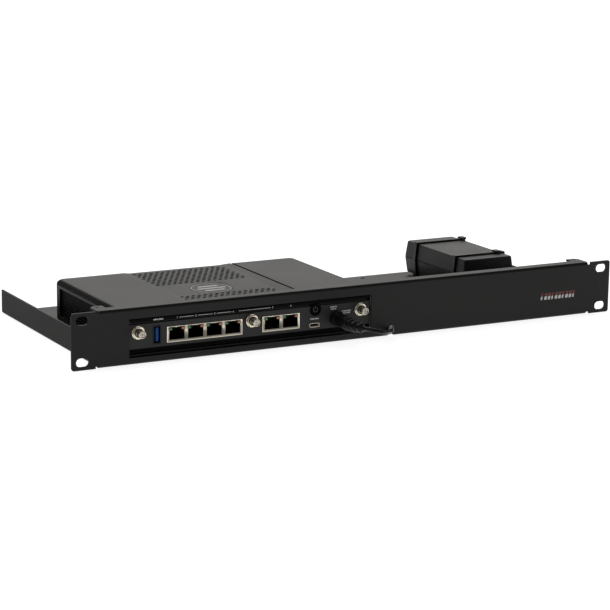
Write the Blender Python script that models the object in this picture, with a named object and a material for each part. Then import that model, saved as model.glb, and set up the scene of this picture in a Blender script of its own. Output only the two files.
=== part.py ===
"""Desktop firewall appliance in a 19-inch rack kit, with its power adapter strapped beside it.

Metres, +Z up. The front panel faces -Y and its centre line is X = 0. Z = 0 is the underside of the tray.
Depths are measured from the front face of the panel, which lies at Y = FRONT.
"""

import math

import bmesh
import bpy
from mathutils import Vector

# --- Rack kit: one folded sheet of steel -------------------------------------------------------
FRONT = -0.099
GAP = 0.0003
SHEET = 0.0015
BEND = 0.0022
PANEL_WIDTH = 0.4826
PANEL_HEIGHT = 0.04366
EAR_CORNER = 0.002
SLOT_PITCH_X = 0.4651
SLOT_PITCH_Z = 0.03175
SLOT_WIDTH = 0.0103
SLOT_HEIGHT = 0.0068
TRAY_HALF = 0.2198
TRAY_DEPTH = 0.205
TRAY_WALL_HEIGHT = 0.020
FLANGE_DEPTH = 0.010
TAB_DEPTH = 0.018
TAB_INNER = 0.2095
RELIEF_WIDTH = 0.0022
RELIEF_TOP = 0.0022
RELIEF_BOTTOM = 0.0016
WINDOW_X = (-0.1949, 0.0130)
WINDOW_Z = (0.0053, 0.0352)
NOTCH_X = (0.0290, 0.0352)
NOTCH_TOP = 0.0087
NOTCH_DEPTH = 0.012
FLOOR_HOLE_X = 0.116
FLOOR_HOLE_DEPTH = 0.197
FLOOR_HOLE_RADIUS = 0.002

# --- Appliance ---------------------------------------------------------------------------------
CASE_X = (-0.1993, 0.0142)
CASE_DEPTHS = (0.0038, 0.1370)
CASE_BOTTOM = 0.0050
CASE_SEAM = 0.0362
CASE_TOP = 0.0406
CASE_WALL = 0.0014
CASE_FLOOR = 0.0018
CASE_CORNER = 0.0035
GRILLE_DEPTHS = (0.008, 0.128)
GRILLE_Z = (0.0120, 0.0342)
LID_CEILING = 0.0376
RECESS_FLOOR = 0.0395
RECESS_X = (-0.142, -0.136, -0.055, -0.046)
GROOVE_X = (-0.0455, -0.0437)
SKIRT_BOTTOM = 0.0295
BADGE_CENTRE = (-0.100, 0.057)
BADGE_RADIUS = 0.0165
BADGE_THICKNESS = 0.0007

# --- Ports, all on the face that shows in the window -------------------------------------------
FACE_DEPTHS = (0.0020, 0.0035)
FACE_X = (-0.1980, 0.0128)
FACE_Z = (0.0114, 0.0301)
STRIP_Z = (0.0316, 0.0341)
STRIP_X = (-0.1940, 0.0122)
STRIP_SLANT = 0.0022
AIR_GRILLE_Z = (0.0073, 0.0110)
BOARD_TOP = 0.0127
BOARD_THICKNESS = 0.0016
SMA_X = (-0.1868, -0.0914, 0.0040)
SMA_Z = 0.0239
SMA_RADIUS = 0.0031
SMA_TIP = -0.0070
NUT_ACROSS_FLATS = 0.0090
JACK_Z = (0.0138, 0.0259)
JACK_OPENING_Z = (0.0156, 0.0232)
JACK_NOTCH_TOP = 0.0253
JACK_OPENING_WIDTH = 0.0128
JACK_NOTCH_WIDTH = 0.0072
JACK_DEPTH = 0.0165
JACK_SOCKET_DEPTH = 0.0125
LAN_X = (-0.1630, -0.0996)
LAN_CENTRES = tuple(-0.1549 + 0.0157 * port for port in range(4))
WAN_X = (-0.0823, -0.0500)
WAN_CENTRES = (-0.07405, -0.05820)
USB_A_X = (-0.1743, -0.1682)
USB_A_Z = (0.0139, 0.0276)
USB_C_CENTRE = (-0.0368, 0.0150)
USB_C_SIZE = (0.0090, 0.0033)
BUTTON_CENTRE = (-0.0360, 0.0273)
BUTTON_RADIUS = 0.0038
BEZEL_RADII = (0.00405, 0.0049)
BUTTON_TRAVEL = 0.0010
RESET_CENTRE = (-0.0070, 0.0190)
RESET_RADIUS = 0.0006
PLUG_CENTRE = (-0.0175, 0.0185)

# --- Power adapter and its straps --------------------------------------------------------------
ADAPTER_X = (0.1598, 0.2104)
ADAPTER_DEPTHS = (0.0970, 0.1990)
ADAPTER_Z = (0.0036, 0.0320)
ADAPTER_SEAM = 0.0178
ADAPTER_DRAFT = 0.0015
ADAPTER_WALL = 0.0020
STRAP_DEPTHS = {"front_cable_tie": 0.1150, "rear_cable_tie": 0.1800}
STRAP_HEAD_INSETS = {"front_cable_tie": 0.0098, "rear_cable_tie": 0.0047}
STRAP_WIDTH = 0.0048
STRAP_THICKNESS = 0.0012
SADDLE_WIDTH = 0.0090
SADDLE_CEILING = 0.0018
SADDLE_X = (0.1640, 0.2060)
STRAP_SLOT = 0.0055
INLET_SIZE = (0.0220, 0.0130)
INLET_SOCKET = (0.0160, 0.0078)
INLET_PIN_PITCH = 0.0086

# --- DC lead, from the appliance's plug to the adapter -----------------------------------------
CORD_RADIUS = 0.0017
COIL_CENTRE = (0.0858, 0.0750)
COIL_RADII = (0.0132, 0.0278)
COIL_Z = (0.0018, 0.0090)
# Route points: X, depth behind the panel's front face, Z.
RELIEF_ROUTE = ((-0.0175, -0.0180, 0.0185), (-0.0175, -0.0250, 0.0185),
                (-0.0167, -0.0320, 0.0186), (-0.0146, -0.0385, 0.0187))
FRONT_ROUTE = ((-0.01448, -0.03888, 0.0187), (-0.0133, -0.0424, 0.0187), (-0.0098, -0.0455, 0.0180),
               (-0.0040, -0.0460, 0.0165), (0.0030, -0.0420, 0.0145), (0.0100, -0.0335, 0.0120),
               (0.0170, -0.0225, 0.0092), (0.0245, -0.0110, 0.0064), (0.0320, 0.0010, 0.0045),
               (0.0390, 0.0130, 0.0036), (0.0450, 0.0260, 0.0035), (0.0510, 0.0400, 0.0035),
               (0.0545, 0.0520, 0.0035), (0.0557, 0.0620, 0.0035))
REAR_ROUTE = ((0.1159, 0.0640, 0.0070), (0.1177, 0.0540, 0.0062), (0.1235, 0.0445, 0.0048),
              (0.1340, 0.0370, 0.0038), (0.1480, 0.0335, 0.0038), (0.1630, 0.0358, 0.0054),
              (0.1755, 0.0435, 0.0094), (0.1830, 0.0545, 0.0146), (0.1850, 0.0640, 0.0174),
              (0.1850, 0.0717, 0.0178))
CORD_STEP = 0.009
ADAPTER_RELIEF_DEPTHS = (0.0720, 0.0990)


def metal(colour, roughness):
    """Return the settings of a bare or plated metal finish."""
    return {"colour": colour, "roughness": roughness, "metallic": 1.0}


def plastic(colour, roughness):
    """Return the settings of a plastic, rubber or painted finish."""
    return {"colour": colour, "roughness": roughness, "metallic": 0.0}


POWDER_COAT = plastic((0.020, 0.020, 0.020), 0.50)
CASE_PLASTIC = plastic((0.022, 0.022, 0.022), 0.48)
DARK_PLASTIC = plastic((0.010, 0.010, 0.010), 0.60)
FACE_GREY = plastic((0.026, 0.026, 0.027), 0.55)
RUBBER = plastic((0.012, 0.012, 0.012), 0.80)
BADGE_GREY = plastic((0.300, 0.295, 0.290), 0.40)
BOARD_GREEN = plastic((0.010, 0.080, 0.035), 0.50)
USB_BLUE = plastic((0.010, 0.080, 0.250), 0.40)
NYLON = plastic((0.012, 0.012, 0.012), 0.45)
CERAMIC_GREY = plastic((0.060, 0.060, 0.062), 0.50)
NICKEL = metal((0.780, 0.730, 0.620), 0.25)
ALUMINIUM = metal((0.600, 0.610, 0.620), 0.40)
STEEL = metal((0.500, 0.500, 0.500), 0.35)


def clear_scene():
    """Remove every object that the scene starts with."""
    for existing in list(bpy.data.objects):
        bpy.data.objects.remove(existing, do_unlink=True)


def at(x, depth, z):
    """Return the world point at a depth behind the panel's front face."""
    return Vector((x, FRONT + depth, z))


def place(axis, along, point):
    """Return the 3-D point of an outline's (u, v) point on the plane at a place along an axis."""
    u, v = point
    return {"X": Vector((along, u, v)), "Y": Vector((u, along, v)), "Z": Vector((u, v, along))}[axis]


def loft(bm, rings):
    """Join rings of points, each with the same count, into one closed body."""
    loops = [[bm.verts.new(point) for point in ring] for ring in rings]
    count = len(loops[0])
    faces = [bm.faces.new(loops[0]), bm.faces.new(loops[-1])]
    for lower, upper in zip(loops, loops[1:]):
        for index in range(count):
            after = (index + 1) % count
            faces.append(bm.faces.new((lower[index], lower[after], upper[after], upper[index])))
    bmesh.ops.recalc_face_normals(bm, faces=faces)


def prism(bm, axis, start, end, outline):
    """Extrude an outline of (u, v) points along an axis."""
    loft(bm, [[place(axis, along, point) for point in outline] for along in (start, end)])


def block(bm, low, high):
    """Add a box between two corners."""
    outline = ((low[0], low[1]), (high[0], low[1]), (high[0], high[1]), (low[0], high[1]))
    prism(bm, "Z", low[2], high[2], outline)


def arc(centre, radius, start, end, steps):
    """Return points on an arc, angles in degrees."""
    points = []
    for step in range(steps + 1):
        angle = math.radians(start + (end - start) * step / steps)
        points.append((centre[0] + radius * math.cos(angle), centre[1] + radius * math.sin(angle)))
    return points


def circle(centre, radius, sides, turn=0.0):
    """Return a regular polygon."""
    return arc(centre, radius, turn, turn + 360.0, sides)[:-1]


def rounded(low, high, radius, steps=4):
    """Return a rectangle with round corners."""
    corners = (((high[0], low[1]), -1, 1, 270), ((high[0], high[1]), -1, -1, 0),
               ((low[0], high[1]), 1, -1, 90), ((low[0], low[1]), 1, 1, 180))
    points = []
    for (x, y), side_x, side_y, start in corners:
        points += arc((x + side_x * radius, y + side_y * radius), radius, start, start + 90, steps)
    return points


def turned(bm, centre, profile, sides, axis="Y"):
    """Turn a closed profile of (radius, along) points about an axis through a centre."""
    rings = []
    for step in range(sides):
        angle = math.tau * step / sides
        ring = []
        for radius, along in profile:
            out = Vector((radius * math.cos(angle), radius * math.sin(angle), along))
            if axis == "Y":
                out = Vector((out.x, out.z, out.y))
            ring.append(bm.verts.new(centre + out))
        rings.append(ring)
    faces = []
    count = len(profile)
    for step in range(sides):
        here = rings[step]
        there = rings[(step + 1) % sides]
        for index in range(count):
            after = (index + 1) % count
            faces.append(bm.faces.new((here[index], here[after], there[after], there[index])))
    bmesh.ops.remove_doubles(bm, verts=[vert for ring in rings for vert in ring], dist=1e-7)
    bmesh.ops.recalc_face_normals(bm, faces=[face for face in faces if face.is_valid])


def paint(thing, finish):
    """Give an object its own Principled material."""
    material = bpy.data.materials.new(thing.name)
    material.use_nodes = True
    shader = material.node_tree.nodes["Principled BSDF"]
    shader.inputs["Base Color"].default_value = (*finish["colour"], 1.0)
    shader.inputs["Roughness"].default_value = finish["roughness"]
    shader.inputs["Metallic"].default_value = finish["metallic"]
    material.diffuse_color = (*finish["colour"], 1.0)
    thing.data.materials.append(material)


def add(name, bm, finish=None, smooth=False, origin=None):
    """Turn a bmesh into a named object; with no finish it is a guide for a Boolean."""
    mesh = bpy.data.meshes.new(name)
    if origin is not None:
        bmesh.ops.translate(bm, verts=bm.verts, vec=-origin)
    bm.to_mesh(mesh)
    bm.free()
    thing = bpy.data.objects.new(name, mesh)
    bpy.context.scene.collection.objects.link(thing)
    if origin is not None:
        thing.location = origin
    if smooth:
        mesh.shade_smooth()
        mesh.set_sharp_from_angle(angle=math.radians(35))
    if finish is None:
        thing.hide_render = True
        thing.display_type = "WIRE"
    else:
        paint(thing, finish)
    return thing


def combine(target, operation, fill):
    """Apply a Boolean with a guide that fill() draws into a bmesh."""
    bm = bmesh.new()
    fill(bm)
    guide = add(f"{target.name}_{operation.lower()}_{len(target.modifiers)}", bm)
    modifier = target.modifiers.new(guide.name, "BOOLEAN")
    modifier.operation = operation
    modifier.object = guide


def simple_box(name, low, high, finish, bevel=0.0):
    """Add a box, with its edges bevelled where a width is given."""
    bm = bmesh.new()
    block(bm, low, high)
    thing = add(name, bm, finish)
    if bevel:
        modifier = thing.modifiers.new("edges", "BEVEL")
        modifier.width = bevel
        modifier.segments = 2
    return thing


def turned_piece(name, centre, profile, finish, sides=24, axis="Y", origin=None):
    """Add a round piece."""
    bm = bmesh.new()
    turned(bm, centre, profile, sides, axis)
    return add(name, bm, finish, smooth=True, origin=origin)


def smooth_route(points, step):
    """Return points spaced along a Catmull-Rom curve through a route's own points."""
    knots = [Vector(point) for point in points]
    knots = [2 * knots[0] - knots[1], *knots, 2 * knots[-1] - knots[-2]]
    result = [knots[1]]
    for before, start, end, after in zip(knots, knots[1:], knots[2:], knots[3:]):
        pieces = max(1, round((end - start).length / step))
        for piece in range(1, pieces + 1):
            t = piece / pieces
            result.append(0.5 * (2 * start + (end - before) * t
                                 + (2 * before - 5 * start + 4 * end - after) * t ** 2
                                 + (3 * start - before - 3 * end + after) * t ** 3))
    return result


def cord(name, route, radii, finish, resolution):
    """Add a tube along a route, with one radius or one for each point."""
    curve = bpy.data.curves.new(name, "CURVE")
    curve.dimensions = "3D"
    curve.fill_mode = "FULL"
    curve.use_fill_caps = True
    curve.bevel_resolution = resolution
    widest = max(radii)
    curve.bevel_depth = widest
    spline = curve.splines.new("POLY")
    spline.points.add(len(route) - 1)
    for index, (knot, point) in enumerate(zip(spline.points, route)):
        knot.co = (*point, 1.0)
        knot.radius = radii[index % len(radii)] / widest
    spline.use_smooth = True
    thing = bpy.data.objects.new(name, curve)
    bpy.context.scene.collection.objects.link(thing)
    paint(thing, finish)
    return thing


# --- Rack kit ------------------------------------------------------------------------------------
def folded_profile():
    """Return the section of the floor strip, panel and top flange: (Y, Z) points."""
    inner = BEND - SHEET
    low = (FRONT + BEND, BEND)
    high = (FRONT + BEND, PANEL_HEIGHT - BEND)
    strip = FRONT + 0.006
    flange = FRONT + FLANGE_DEPTH
    return [(strip, 0.0), *arc(low, BEND, 270, 180, 4), *arc(high, BEND, 180, 90, 4),
            (flange, PANEL_HEIGHT), (flange, PANEL_HEIGHT - SHEET),
            *arc(high, inner, 90, 180, 3), *arc(low, inner, 180, 270, 3), (strip, SHEET)]


def side_profile(side):
    """Return the section of a side wall and its bend: (X, Z) points."""
    outer = TRAY_HALF
    centre = (outer - BEND, BEND)
    points = [(0.2170, 0.0), *arc(centre, BEND, 270, 360, 4), (outer, TRAY_WALL_HEIGHT),
              (outer - SHEET, TRAY_WALL_HEIGHT), *arc(centre, BEND - SHEET, 360, 270, 3), (0.2170, SHEET)]
    return [(side * x, z) for x, z in points]


def tab_outline(side):
    """Return the deeper tab at each end of the top flange: (X, Y) points."""
    chamfer = 0.003
    outer = TRAY_HALF
    points = [(TAB_INNER, FRONT + FLANGE_DEPTH - 0.002), (outer, FRONT + FLANGE_DEPTH - 0.002),
              (outer, FRONT + TAB_DEPTH - chamfer), (outer - chamfer, FRONT + TAB_DEPTH),
              (TAB_INNER, FRONT + TAB_DEPTH)]
    return [(side * x, y) for x, y in points]


def rack_tray():
    """Build the folded tray: panel with ears, top flange, floor and side walls."""
    bm = bmesh.new()
    prism(bm, "X", -TRAY_HALF, TRAY_HALF, folded_profile())
    tray = add("rack_tray", bm, POWDER_COAT)
    middle = PANEL_HEIGHT / 2

    def bend_relief(bm):
        for side in (-1, 1):
            edges = sorted((side * (TRAY_HALF - 0.0024), side * (TRAY_HALF + 0.001)))
            block(bm, at(edges[0], 0.0029, -0.001), at(edges[1], 0.008, 0.004))

    def floor(bm):
        block(bm, at(-0.2178, 0.0040, 0.0), at(0.2178, TRAY_DEPTH, SHEET))

    def walls(bm):
        for side in (-1, 1):
            prism(bm, "Y", FRONT + 0.0032, FRONT + TRAY_DEPTH, side_profile(side))

    def ears(bm):
        for side in (-1, 1):
            outer = PANEL_WIDTH / 2 - EAR_CORNER
            outline = [(TRAY_HALF - 0.0005, 0.0), *arc((outer, EAR_CORNER), EAR_CORNER, 270, 360, 4),
                       *arc((outer, PANEL_HEIGHT - EAR_CORNER), EAR_CORNER, 0, 90, 4),
                       (TRAY_HALF - 0.0005, PANEL_HEIGHT)]
            prism(bm, "Y", FRONT, FRONT + SHEET, [(side * x, z) for x, z in outline])

    def tabs(bm):
        for side in (-1, 1):
            prism(bm, "Z", PANEL_HEIGHT - SHEET, PANEL_HEIGHT, tab_outline(side))

    def saddles(bm):
        for depth in STRAP_DEPTHS.values():
            half = SADDLE_WIDTH / 2 + SHEET
            block(bm, at(SADDLE_X[0], depth - half, 0.0005),
                  at(SADDLE_X[1], depth + half, SADDLE_CEILING + SHEET))

    def openings(bm):
        block(bm, at(WINDOW_X[0], -0.001, WINDOW_Z[0]), at(WINDOW_X[1], 0.003, WINDOW_Z[1]))
        for side_x in (-1, 1):
            for side_z in (-1, 1):
                x = side_x * SLOT_PITCH_X / 2
                z = middle + side_z * SLOT_PITCH_Z / 2
                outline = rounded((x - SLOT_WIDTH / 2, z - SLOT_HEIGHT / 2),
                                  (x + SLOT_WIDTH / 2, z + SLOT_HEIGHT / 2), SLOT_HEIGHT / 2 - 1e-5, 5)
                prism(bm, "Y", FRONT - 0.001, FRONT + 0.003, outline)
            for low, high in ((PANEL_HEIGHT - RELIEF_TOP, PANEL_HEIGHT + 0.001), (-0.001, RELIEF_BOTTOM)):
                edges = sorted((side_x * (TRAY_HALF - 0.0005), side_x * (TRAY_HALF + RELIEF_WIDTH)))
                block(bm, at(edges[0], -0.001, low), at(edges[1], 0.0028, high))
            prism(bm, "Z", PANEL_HEIGHT - 0.003, PANEL_HEIGHT + 0.001,
                  circle((side_x * 0.2150, FRONT + 0.0135), 0.0012, 12))
            prism(bm, "Z", -0.001, 0.003,
                  circle((side_x * FLOOR_HOLE_X, FRONT + FLOOR_HOLE_DEPTH), FLOOR_HOLE_RADIUS, 16))
        for depth in STRAP_DEPTHS.values():
            half = SADDLE_WIDTH / 2
            low = SADDLE_X[0] - STRAP_SLOT
            high = SADDLE_X[1] + STRAP_SLOT
            outline = [(low, -0.001), (high, -0.001), (high, 0.005), (SADDLE_X[1], 0.005),
                       (SADDLE_X[1], SADDLE_CEILING), (SADDLE_X[0], SADDLE_CEILING),
                       (SADDLE_X[0], 0.005), (low, 0.005)]
            prism(bm, "Y", FRONT + depth - half, FRONT + depth + half, outline)

    def cable_notch(bm):
        radius = (NOTCH_X[1] - NOTCH_X[0]) / 2
        centre = (NOTCH_X[0] + radius, NOTCH_TOP - radius)
        outline = [(NOTCH_X[0], -0.001), (NOTCH_X[1], -0.001), *arc(centre, radius, 0, 180, 8)]
        prism(bm, "Y", FRONT - 0.001, FRONT + 0.0025, outline)

    def floor_notch(bm):
        radius = (NOTCH_X[1] - NOTCH_X[0]) / 2
        centre = (NOTCH_X[0] + radius, FRONT + NOTCH_DEPTH - radius)
        mouth = [(NOTCH_X[0], FRONT + 0.0015), (NOTCH_X[1], FRONT + 0.0015)]
        outline = [*mouth, *arc(centre, radius, 0, 180, 8)]
        prism(bm, "Z", -0.001, 0.0035, outline)

    combine(tray, "DIFFERENCE", bend_relief)
    for fill in (floor, walls, ears, tabs, saddles):
        combine(tray, "UNION", fill)
    for fill in (openings, cable_notch, floor_notch):
        combine(tray, "DIFFERENCE", fill)


# --- Appliance case --------------------------------------------------------------------------------
def case_ring(inset, z):
    """Return the case's plan outline at a height, pulled in by an inset, with round rear corners."""
    left = CASE_X[0] + inset
    right = CASE_X[1] - inset
    front = FRONT + CASE_DEPTHS[0]
    rear = FRONT + CASE_DEPTHS[1] - inset
    radius = CASE_CORNER
    outline = [(left, front), (right, front), *arc((right - radius, rear - radius), radius, 0, 90, 5),
               *arc((left + radius, rear - radius), radius, 90, 180, 5)]
    return [Vector((x, y, z)) for x, y in outline]


def bottom_case(screws):
    """Build the lower case: floor, side and rear walls, grille windows and screw bosses."""
    bm = bmesh.new()
    loft(bm, [case_ring(0.0034, CASE_BOTTOM), case_ring(0.0016, CASE_BOTTOM + 0.0008),
              case_ring(0.0004, CASE_BOTTOM + 0.0024), case_ring(0.0, CASE_BOTTOM + 0.0044),
              case_ring(0.0, CASE_SEAM)])
    case = add("bottom_case", bm, CASE_PLASTIC)

    def hollow(bm):
        block(bm, at(CASE_X[0] + CASE_WALL, -0.001, CASE_BOTTOM + CASE_FLOOR),
              at(CASE_X[1] - CASE_WALL, CASE_DEPTHS[1] - CASE_WALL, 0.040))

    def bosses(bm):
        for x, depth in screws:
            prism(bm, "Z", CASE_BOTTOM + 0.001, 0.0108, circle((x, FRONT + depth), 0.0034, 16))

    def openings(bm):
        block(bm, at(CASE_X[0] - 0.001, GRILLE_DEPTHS[0], GRILLE_Z[0]),
              at(CASE_X[0] + 0.003, GRILLE_DEPTHS[1], GRILLE_Z[1]))
        block(bm, at(CASE_X[1] - 0.003, GRILLE_DEPTHS[0], GRILLE_Z[0]),
              at(CASE_X[1] + 0.001, GRILLE_DEPTHS[1], GRILLE_Z[1]))
        block(bm, at(-0.0803, CASE_DEPTHS[1] - 0.003, 0.0245), at(-0.0197, CASE_DEPTHS[1] + 0.002, 0.0288))
        for x, depth in screws:
            prism(bm, "Z", 0.003, 0.012, circle((x, FRONT + depth), 0.0018, 12))

    combine(case, "DIFFERENCE", hollow)
    combine(case, "UNION", bosses)
    combine(case, "DIFFERENCE", openings)


def top_cover():
    """Build the lid: rounded shell with a sunken middle, a front skirt and a pocket for the badge."""
    bm = bmesh.new()
    loft(bm, [case_ring(0.0, CASE_SEAM + GAP), case_ring(0.0002, CASE_SEAM + 0.0018),
              case_ring(0.0012, CASE_TOP - 0.0012), case_ring(0.0024, CASE_TOP - 0.0003),
              case_ring(0.0040, CASE_TOP)])
    lid = add("top_cover", bm, CASE_PLASTIC)

    def skirt(bm):
        block(bm, at(FACE_X[0] + 0.001, CASE_DEPTHS[0], SKIRT_BOTTOM),
              at(FACE_X[1] - 0.001, CASE_DEPTHS[0] + 0.0012, CASE_SEAM + 0.001))

    def hollow(bm):
        block(bm, at(CASE_X[0] + 0.003, CASE_DEPTHS[0] + 0.0012, CASE_SEAM - 0.001),
              at(CASE_X[1] - 0.003, CASE_DEPTHS[1] - 0.003, LID_CEILING))

    def sunken_middle(bm):
        top = CASE_TOP + 0.0004
        slope = (top - RECESS_FLOOR) / (CASE_TOP - RECESS_FLOOR)
        left = RECESS_X[1] + (RECESS_X[0] - RECESS_X[1]) * slope
        right = RECESS_X[2] + (RECESS_X[3] - RECESS_X[2]) * slope
        outline = [(left, top), (RECESS_X[1], RECESS_FLOOR), (RECESS_X[2], RECESS_FLOOR), (right, top)]
        prism(bm, "Y", FRONT, FRONT + 0.140, outline)

    def groove(bm):
        block(bm, at(GROOVE_X[0], 0.0, CASE_TOP - 0.0009), at(GROOVE_X[1], 0.140, CASE_TOP + 0.001))

    def badge_pocket(bm):
        prism(bm, "Z", RECESS_FLOOR - BADGE_THICKNESS - GAP, RECESS_FLOOR + 0.001,
              circle((BADGE_CENTRE[0], FRONT + BADGE_CENTRE[1]), BADGE_RADIUS + GAP, 32))

    def button_hole(bm):
        prism(bm, "Y", FRONT, FRONT + 0.010, circle(BUTTON_CENTRE, BEZEL_RADII[1] + GAP, 24))

    combine(lid, "UNION", skirt)
    for fill in (hollow, sunken_middle, groove, badge_pocket, button_hole):
        combine(lid, "DIFFERENCE", fill)
    badge = bmesh.new()
    prism(badge, "Z", RECESS_FLOOR - BADGE_THICKNESS, RECESS_FLOOR,
          circle((BADGE_CENTRE[0], FRONT + BADGE_CENTRE[1]), BADGE_RADIUS, 32))
    add("emblem_badge", badge, BADGE_GREY, smooth=True)


def case_inserts():
    """Build the side grilles, the air grille under the ports and the light bar at the back."""
    for name, x in (("side_grille_left", CASE_X[0] + CASE_WALL + GAP),
                    ("side_grille_right", CASE_X[1] - CASE_WALL - GAP - 0.0012)):
        simple_box(name, at(x, GRILLE_DEPTHS[0] - 0.001, GRILLE_Z[0] - 0.001),
                   at(x + 0.0012, GRILLE_DEPTHS[1] + 0.001, GRILLE_Z[1] + 0.001), DARK_PLASTIC)
    grille = simple_box("front_air_grille", at(FACE_X[0] + 0.001, 0.0044, AIR_GRILLE_Z[0]),
                        at(FACE_X[1] - 0.001, 0.0056, AIR_GRILLE_Z[1]), DARK_PLASTIC)

    def slits(bm):
        for index in range(24):
            x = FACE_X[0] + 0.008 + index * 0.0084
            block(bm, at(x, 0.003, AIR_GRILLE_Z[0] + 0.001), at(x + 0.006, 0.007, AIR_GRILLE_Z[1] - 0.001))

    combine(grille, "DIFFERENCE", slits)
    bar_low = at(-0.0800, CASE_DEPTHS[1] - 0.0030, 0.0248)
    bar_high = at(-0.0200, CASE_DEPTHS[1] - 0.0002, 0.0285)
    simple_box("status_light_bar", bar_low, bar_high, CERAMIC_GREY)


# --- Port face -------------------------------------------------------------------------------------
def port_face():
    """Build the flat face that holds the ports, and the label strip above it."""
    face = simple_box("io_faceplate", at(FACE_X[0], FACE_DEPTHS[0], FACE_Z[0]),
                      at(FACE_X[1], FACE_DEPTHS[1], FACE_Z[1]), FACE_GREY)

    def port_holes(bm):
        front = FRONT
        back = FRONT + 0.006
        for x in SMA_X:
            prism(bm, "Y", front, back, circle((x, SMA_Z), SMA_RADIUS + GAP, 20))
        for low, high in (LAN_X, WAN_X):
            block(bm, (low - GAP, front, JACK_Z[0] - GAP), (high + GAP, back, JACK_Z[1] + GAP))
        block(bm, (USB_A_X[0] - GAP, front, USB_A_Z[0] - GAP), (USB_A_X[1] + GAP, back, USB_A_Z[1] + GAP))
        half = (USB_C_SIZE[0] / 2 + GAP, USB_C_SIZE[1] / 2 + GAP)
        low = (USB_C_CENTRE[0] - half[0], USB_C_CENTRE[1] - half[1])
        high = (USB_C_CENTRE[0] + half[0], USB_C_CENTRE[1] + half[1])
        prism(bm, "Y", front, back, rounded(low, high, half[1] - 1e-5, 4))
        prism(bm, "Y", front, back, circle(BUTTON_CENTRE, BEZEL_RADII[1] + GAP, 24))
        prism(bm, "Y", front, back, circle(RESET_CENTRE, RESET_RADIUS + GAP, 12))
        prism(bm, "Y", front, back, circle(PLUG_CENTRE, 0.0036, 20))

    combine(face, "DIFFERENCE", port_holes)
    bm = bmesh.new()
    outline = [(STRIP_X[0] + STRIP_SLANT, STRIP_Z[0]), (STRIP_X[1] - STRIP_SLANT, STRIP_Z[0]),
               (STRIP_X[1], STRIP_Z[1]), (STRIP_X[0], STRIP_Z[1])]
    prism(bm, "Y", FRONT + FACE_DEPTHS[0], FRONT + FACE_DEPTHS[1], outline)
    strip = add("label_strip", bm, FACE_GREY)

    def bezel_clearance(bm):
        prism(bm, "Y", FRONT, FRONT + 0.006, circle(BUTTON_CENTRE, BEZEL_RADII[1] + GAP, 24))

    combine(strip, "DIFFERENCE", bezel_clearance)


def network_jacks(name, span, centres):
    """Build a row of network sockets as one shielded block."""
    bm = bmesh.new()
    block(bm, at(span[0], 0.0018, JACK_Z[0]), at(span[1], 0.0018 + JACK_DEPTH, JACK_Z[1]))
    jacks = add(name, bm, NICKEL)

    def sockets(bm):
        wide = JACK_OPENING_WIDTH / 2
        slim = JACK_NOTCH_WIDTH / 2
        for x in centres:
            outline = [(x - wide, JACK_OPENING_Z[0]), (x + wide, JACK_OPENING_Z[0]),
                       (x + wide, JACK_OPENING_Z[1]), (x + slim, JACK_OPENING_Z[1]),
                       (x + slim, JACK_NOTCH_TOP), (x - slim, JACK_NOTCH_TOP),
                       (x - slim, JACK_OPENING_Z[1]), (x - wide, JACK_OPENING_Z[1])]
            prism(bm, "Y", FRONT, FRONT + JACK_SOCKET_DEPTH, outline)

    combine(jacks, "DIFFERENCE", sockets)


def usb_ports():
    """Build the upright USB-A port and the small USB-C port, each a shell with its tongue."""
    low, high = at(USB_A_X[0], 0.0017, USB_A_Z[0]), at(USB_A_X[1], 0.0155, USB_A_Z[1])
    shell = simple_box("usb_a_port", low, high, STEEL)
    wall = 0.00045

    def socket(bm):
        inner_high = at(USB_A_X[1] - wall, 0.0145, USB_A_Z[1] - wall)
        block(bm, at(USB_A_X[0] + wall, 0.0, USB_A_Z[0] + wall), inner_high)

    combine(shell, "DIFFERENCE", socket)
    middle = (USB_A_X[0] + USB_A_X[1]) / 2
    simple_box("usb_a_tongue", at(middle - 0.0007, 0.0026, USB_A_Z[0] + 0.0016),
               at(middle + 0.0015, 0.0142, USB_A_Z[1] - 0.0016), USB_BLUE)
    half = (USB_C_SIZE[0] / 2, USB_C_SIZE[1] / 2)
    bm = bmesh.new()
    low = Vector((USB_C_CENTRE[0] - half[0], USB_C_CENTRE[1] - half[1]))
    high = Vector((USB_C_CENTRE[0] + half[0], USB_C_CENTRE[1] + half[1]))
    prism(bm, "Y", FRONT + 0.0017, FRONT + 0.0086, rounded(low, high, half[1] - 1e-5, 5))
    small = add("usb_c_port", bm, STEEL, smooth=True)
    inset = Vector((0.00032, 0.00032))

    def small_socket(bm):
        prism(bm, "Y", FRONT, FRONT + 0.0080, rounded(low + inset, high - inset, half[1] - 0.00033, 5))

    combine(small, "DIFFERENCE", small_socket)
    simple_box("usb_c_tongue", at(USB_C_CENTRE[0] - 0.0033, 0.0026, USB_C_CENTRE[1] - 0.00035),
               at(USB_C_CENTRE[0] + 0.0033, 0.0077, USB_C_CENTRE[1] + 0.00035), DARK_PLASTIC)


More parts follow.
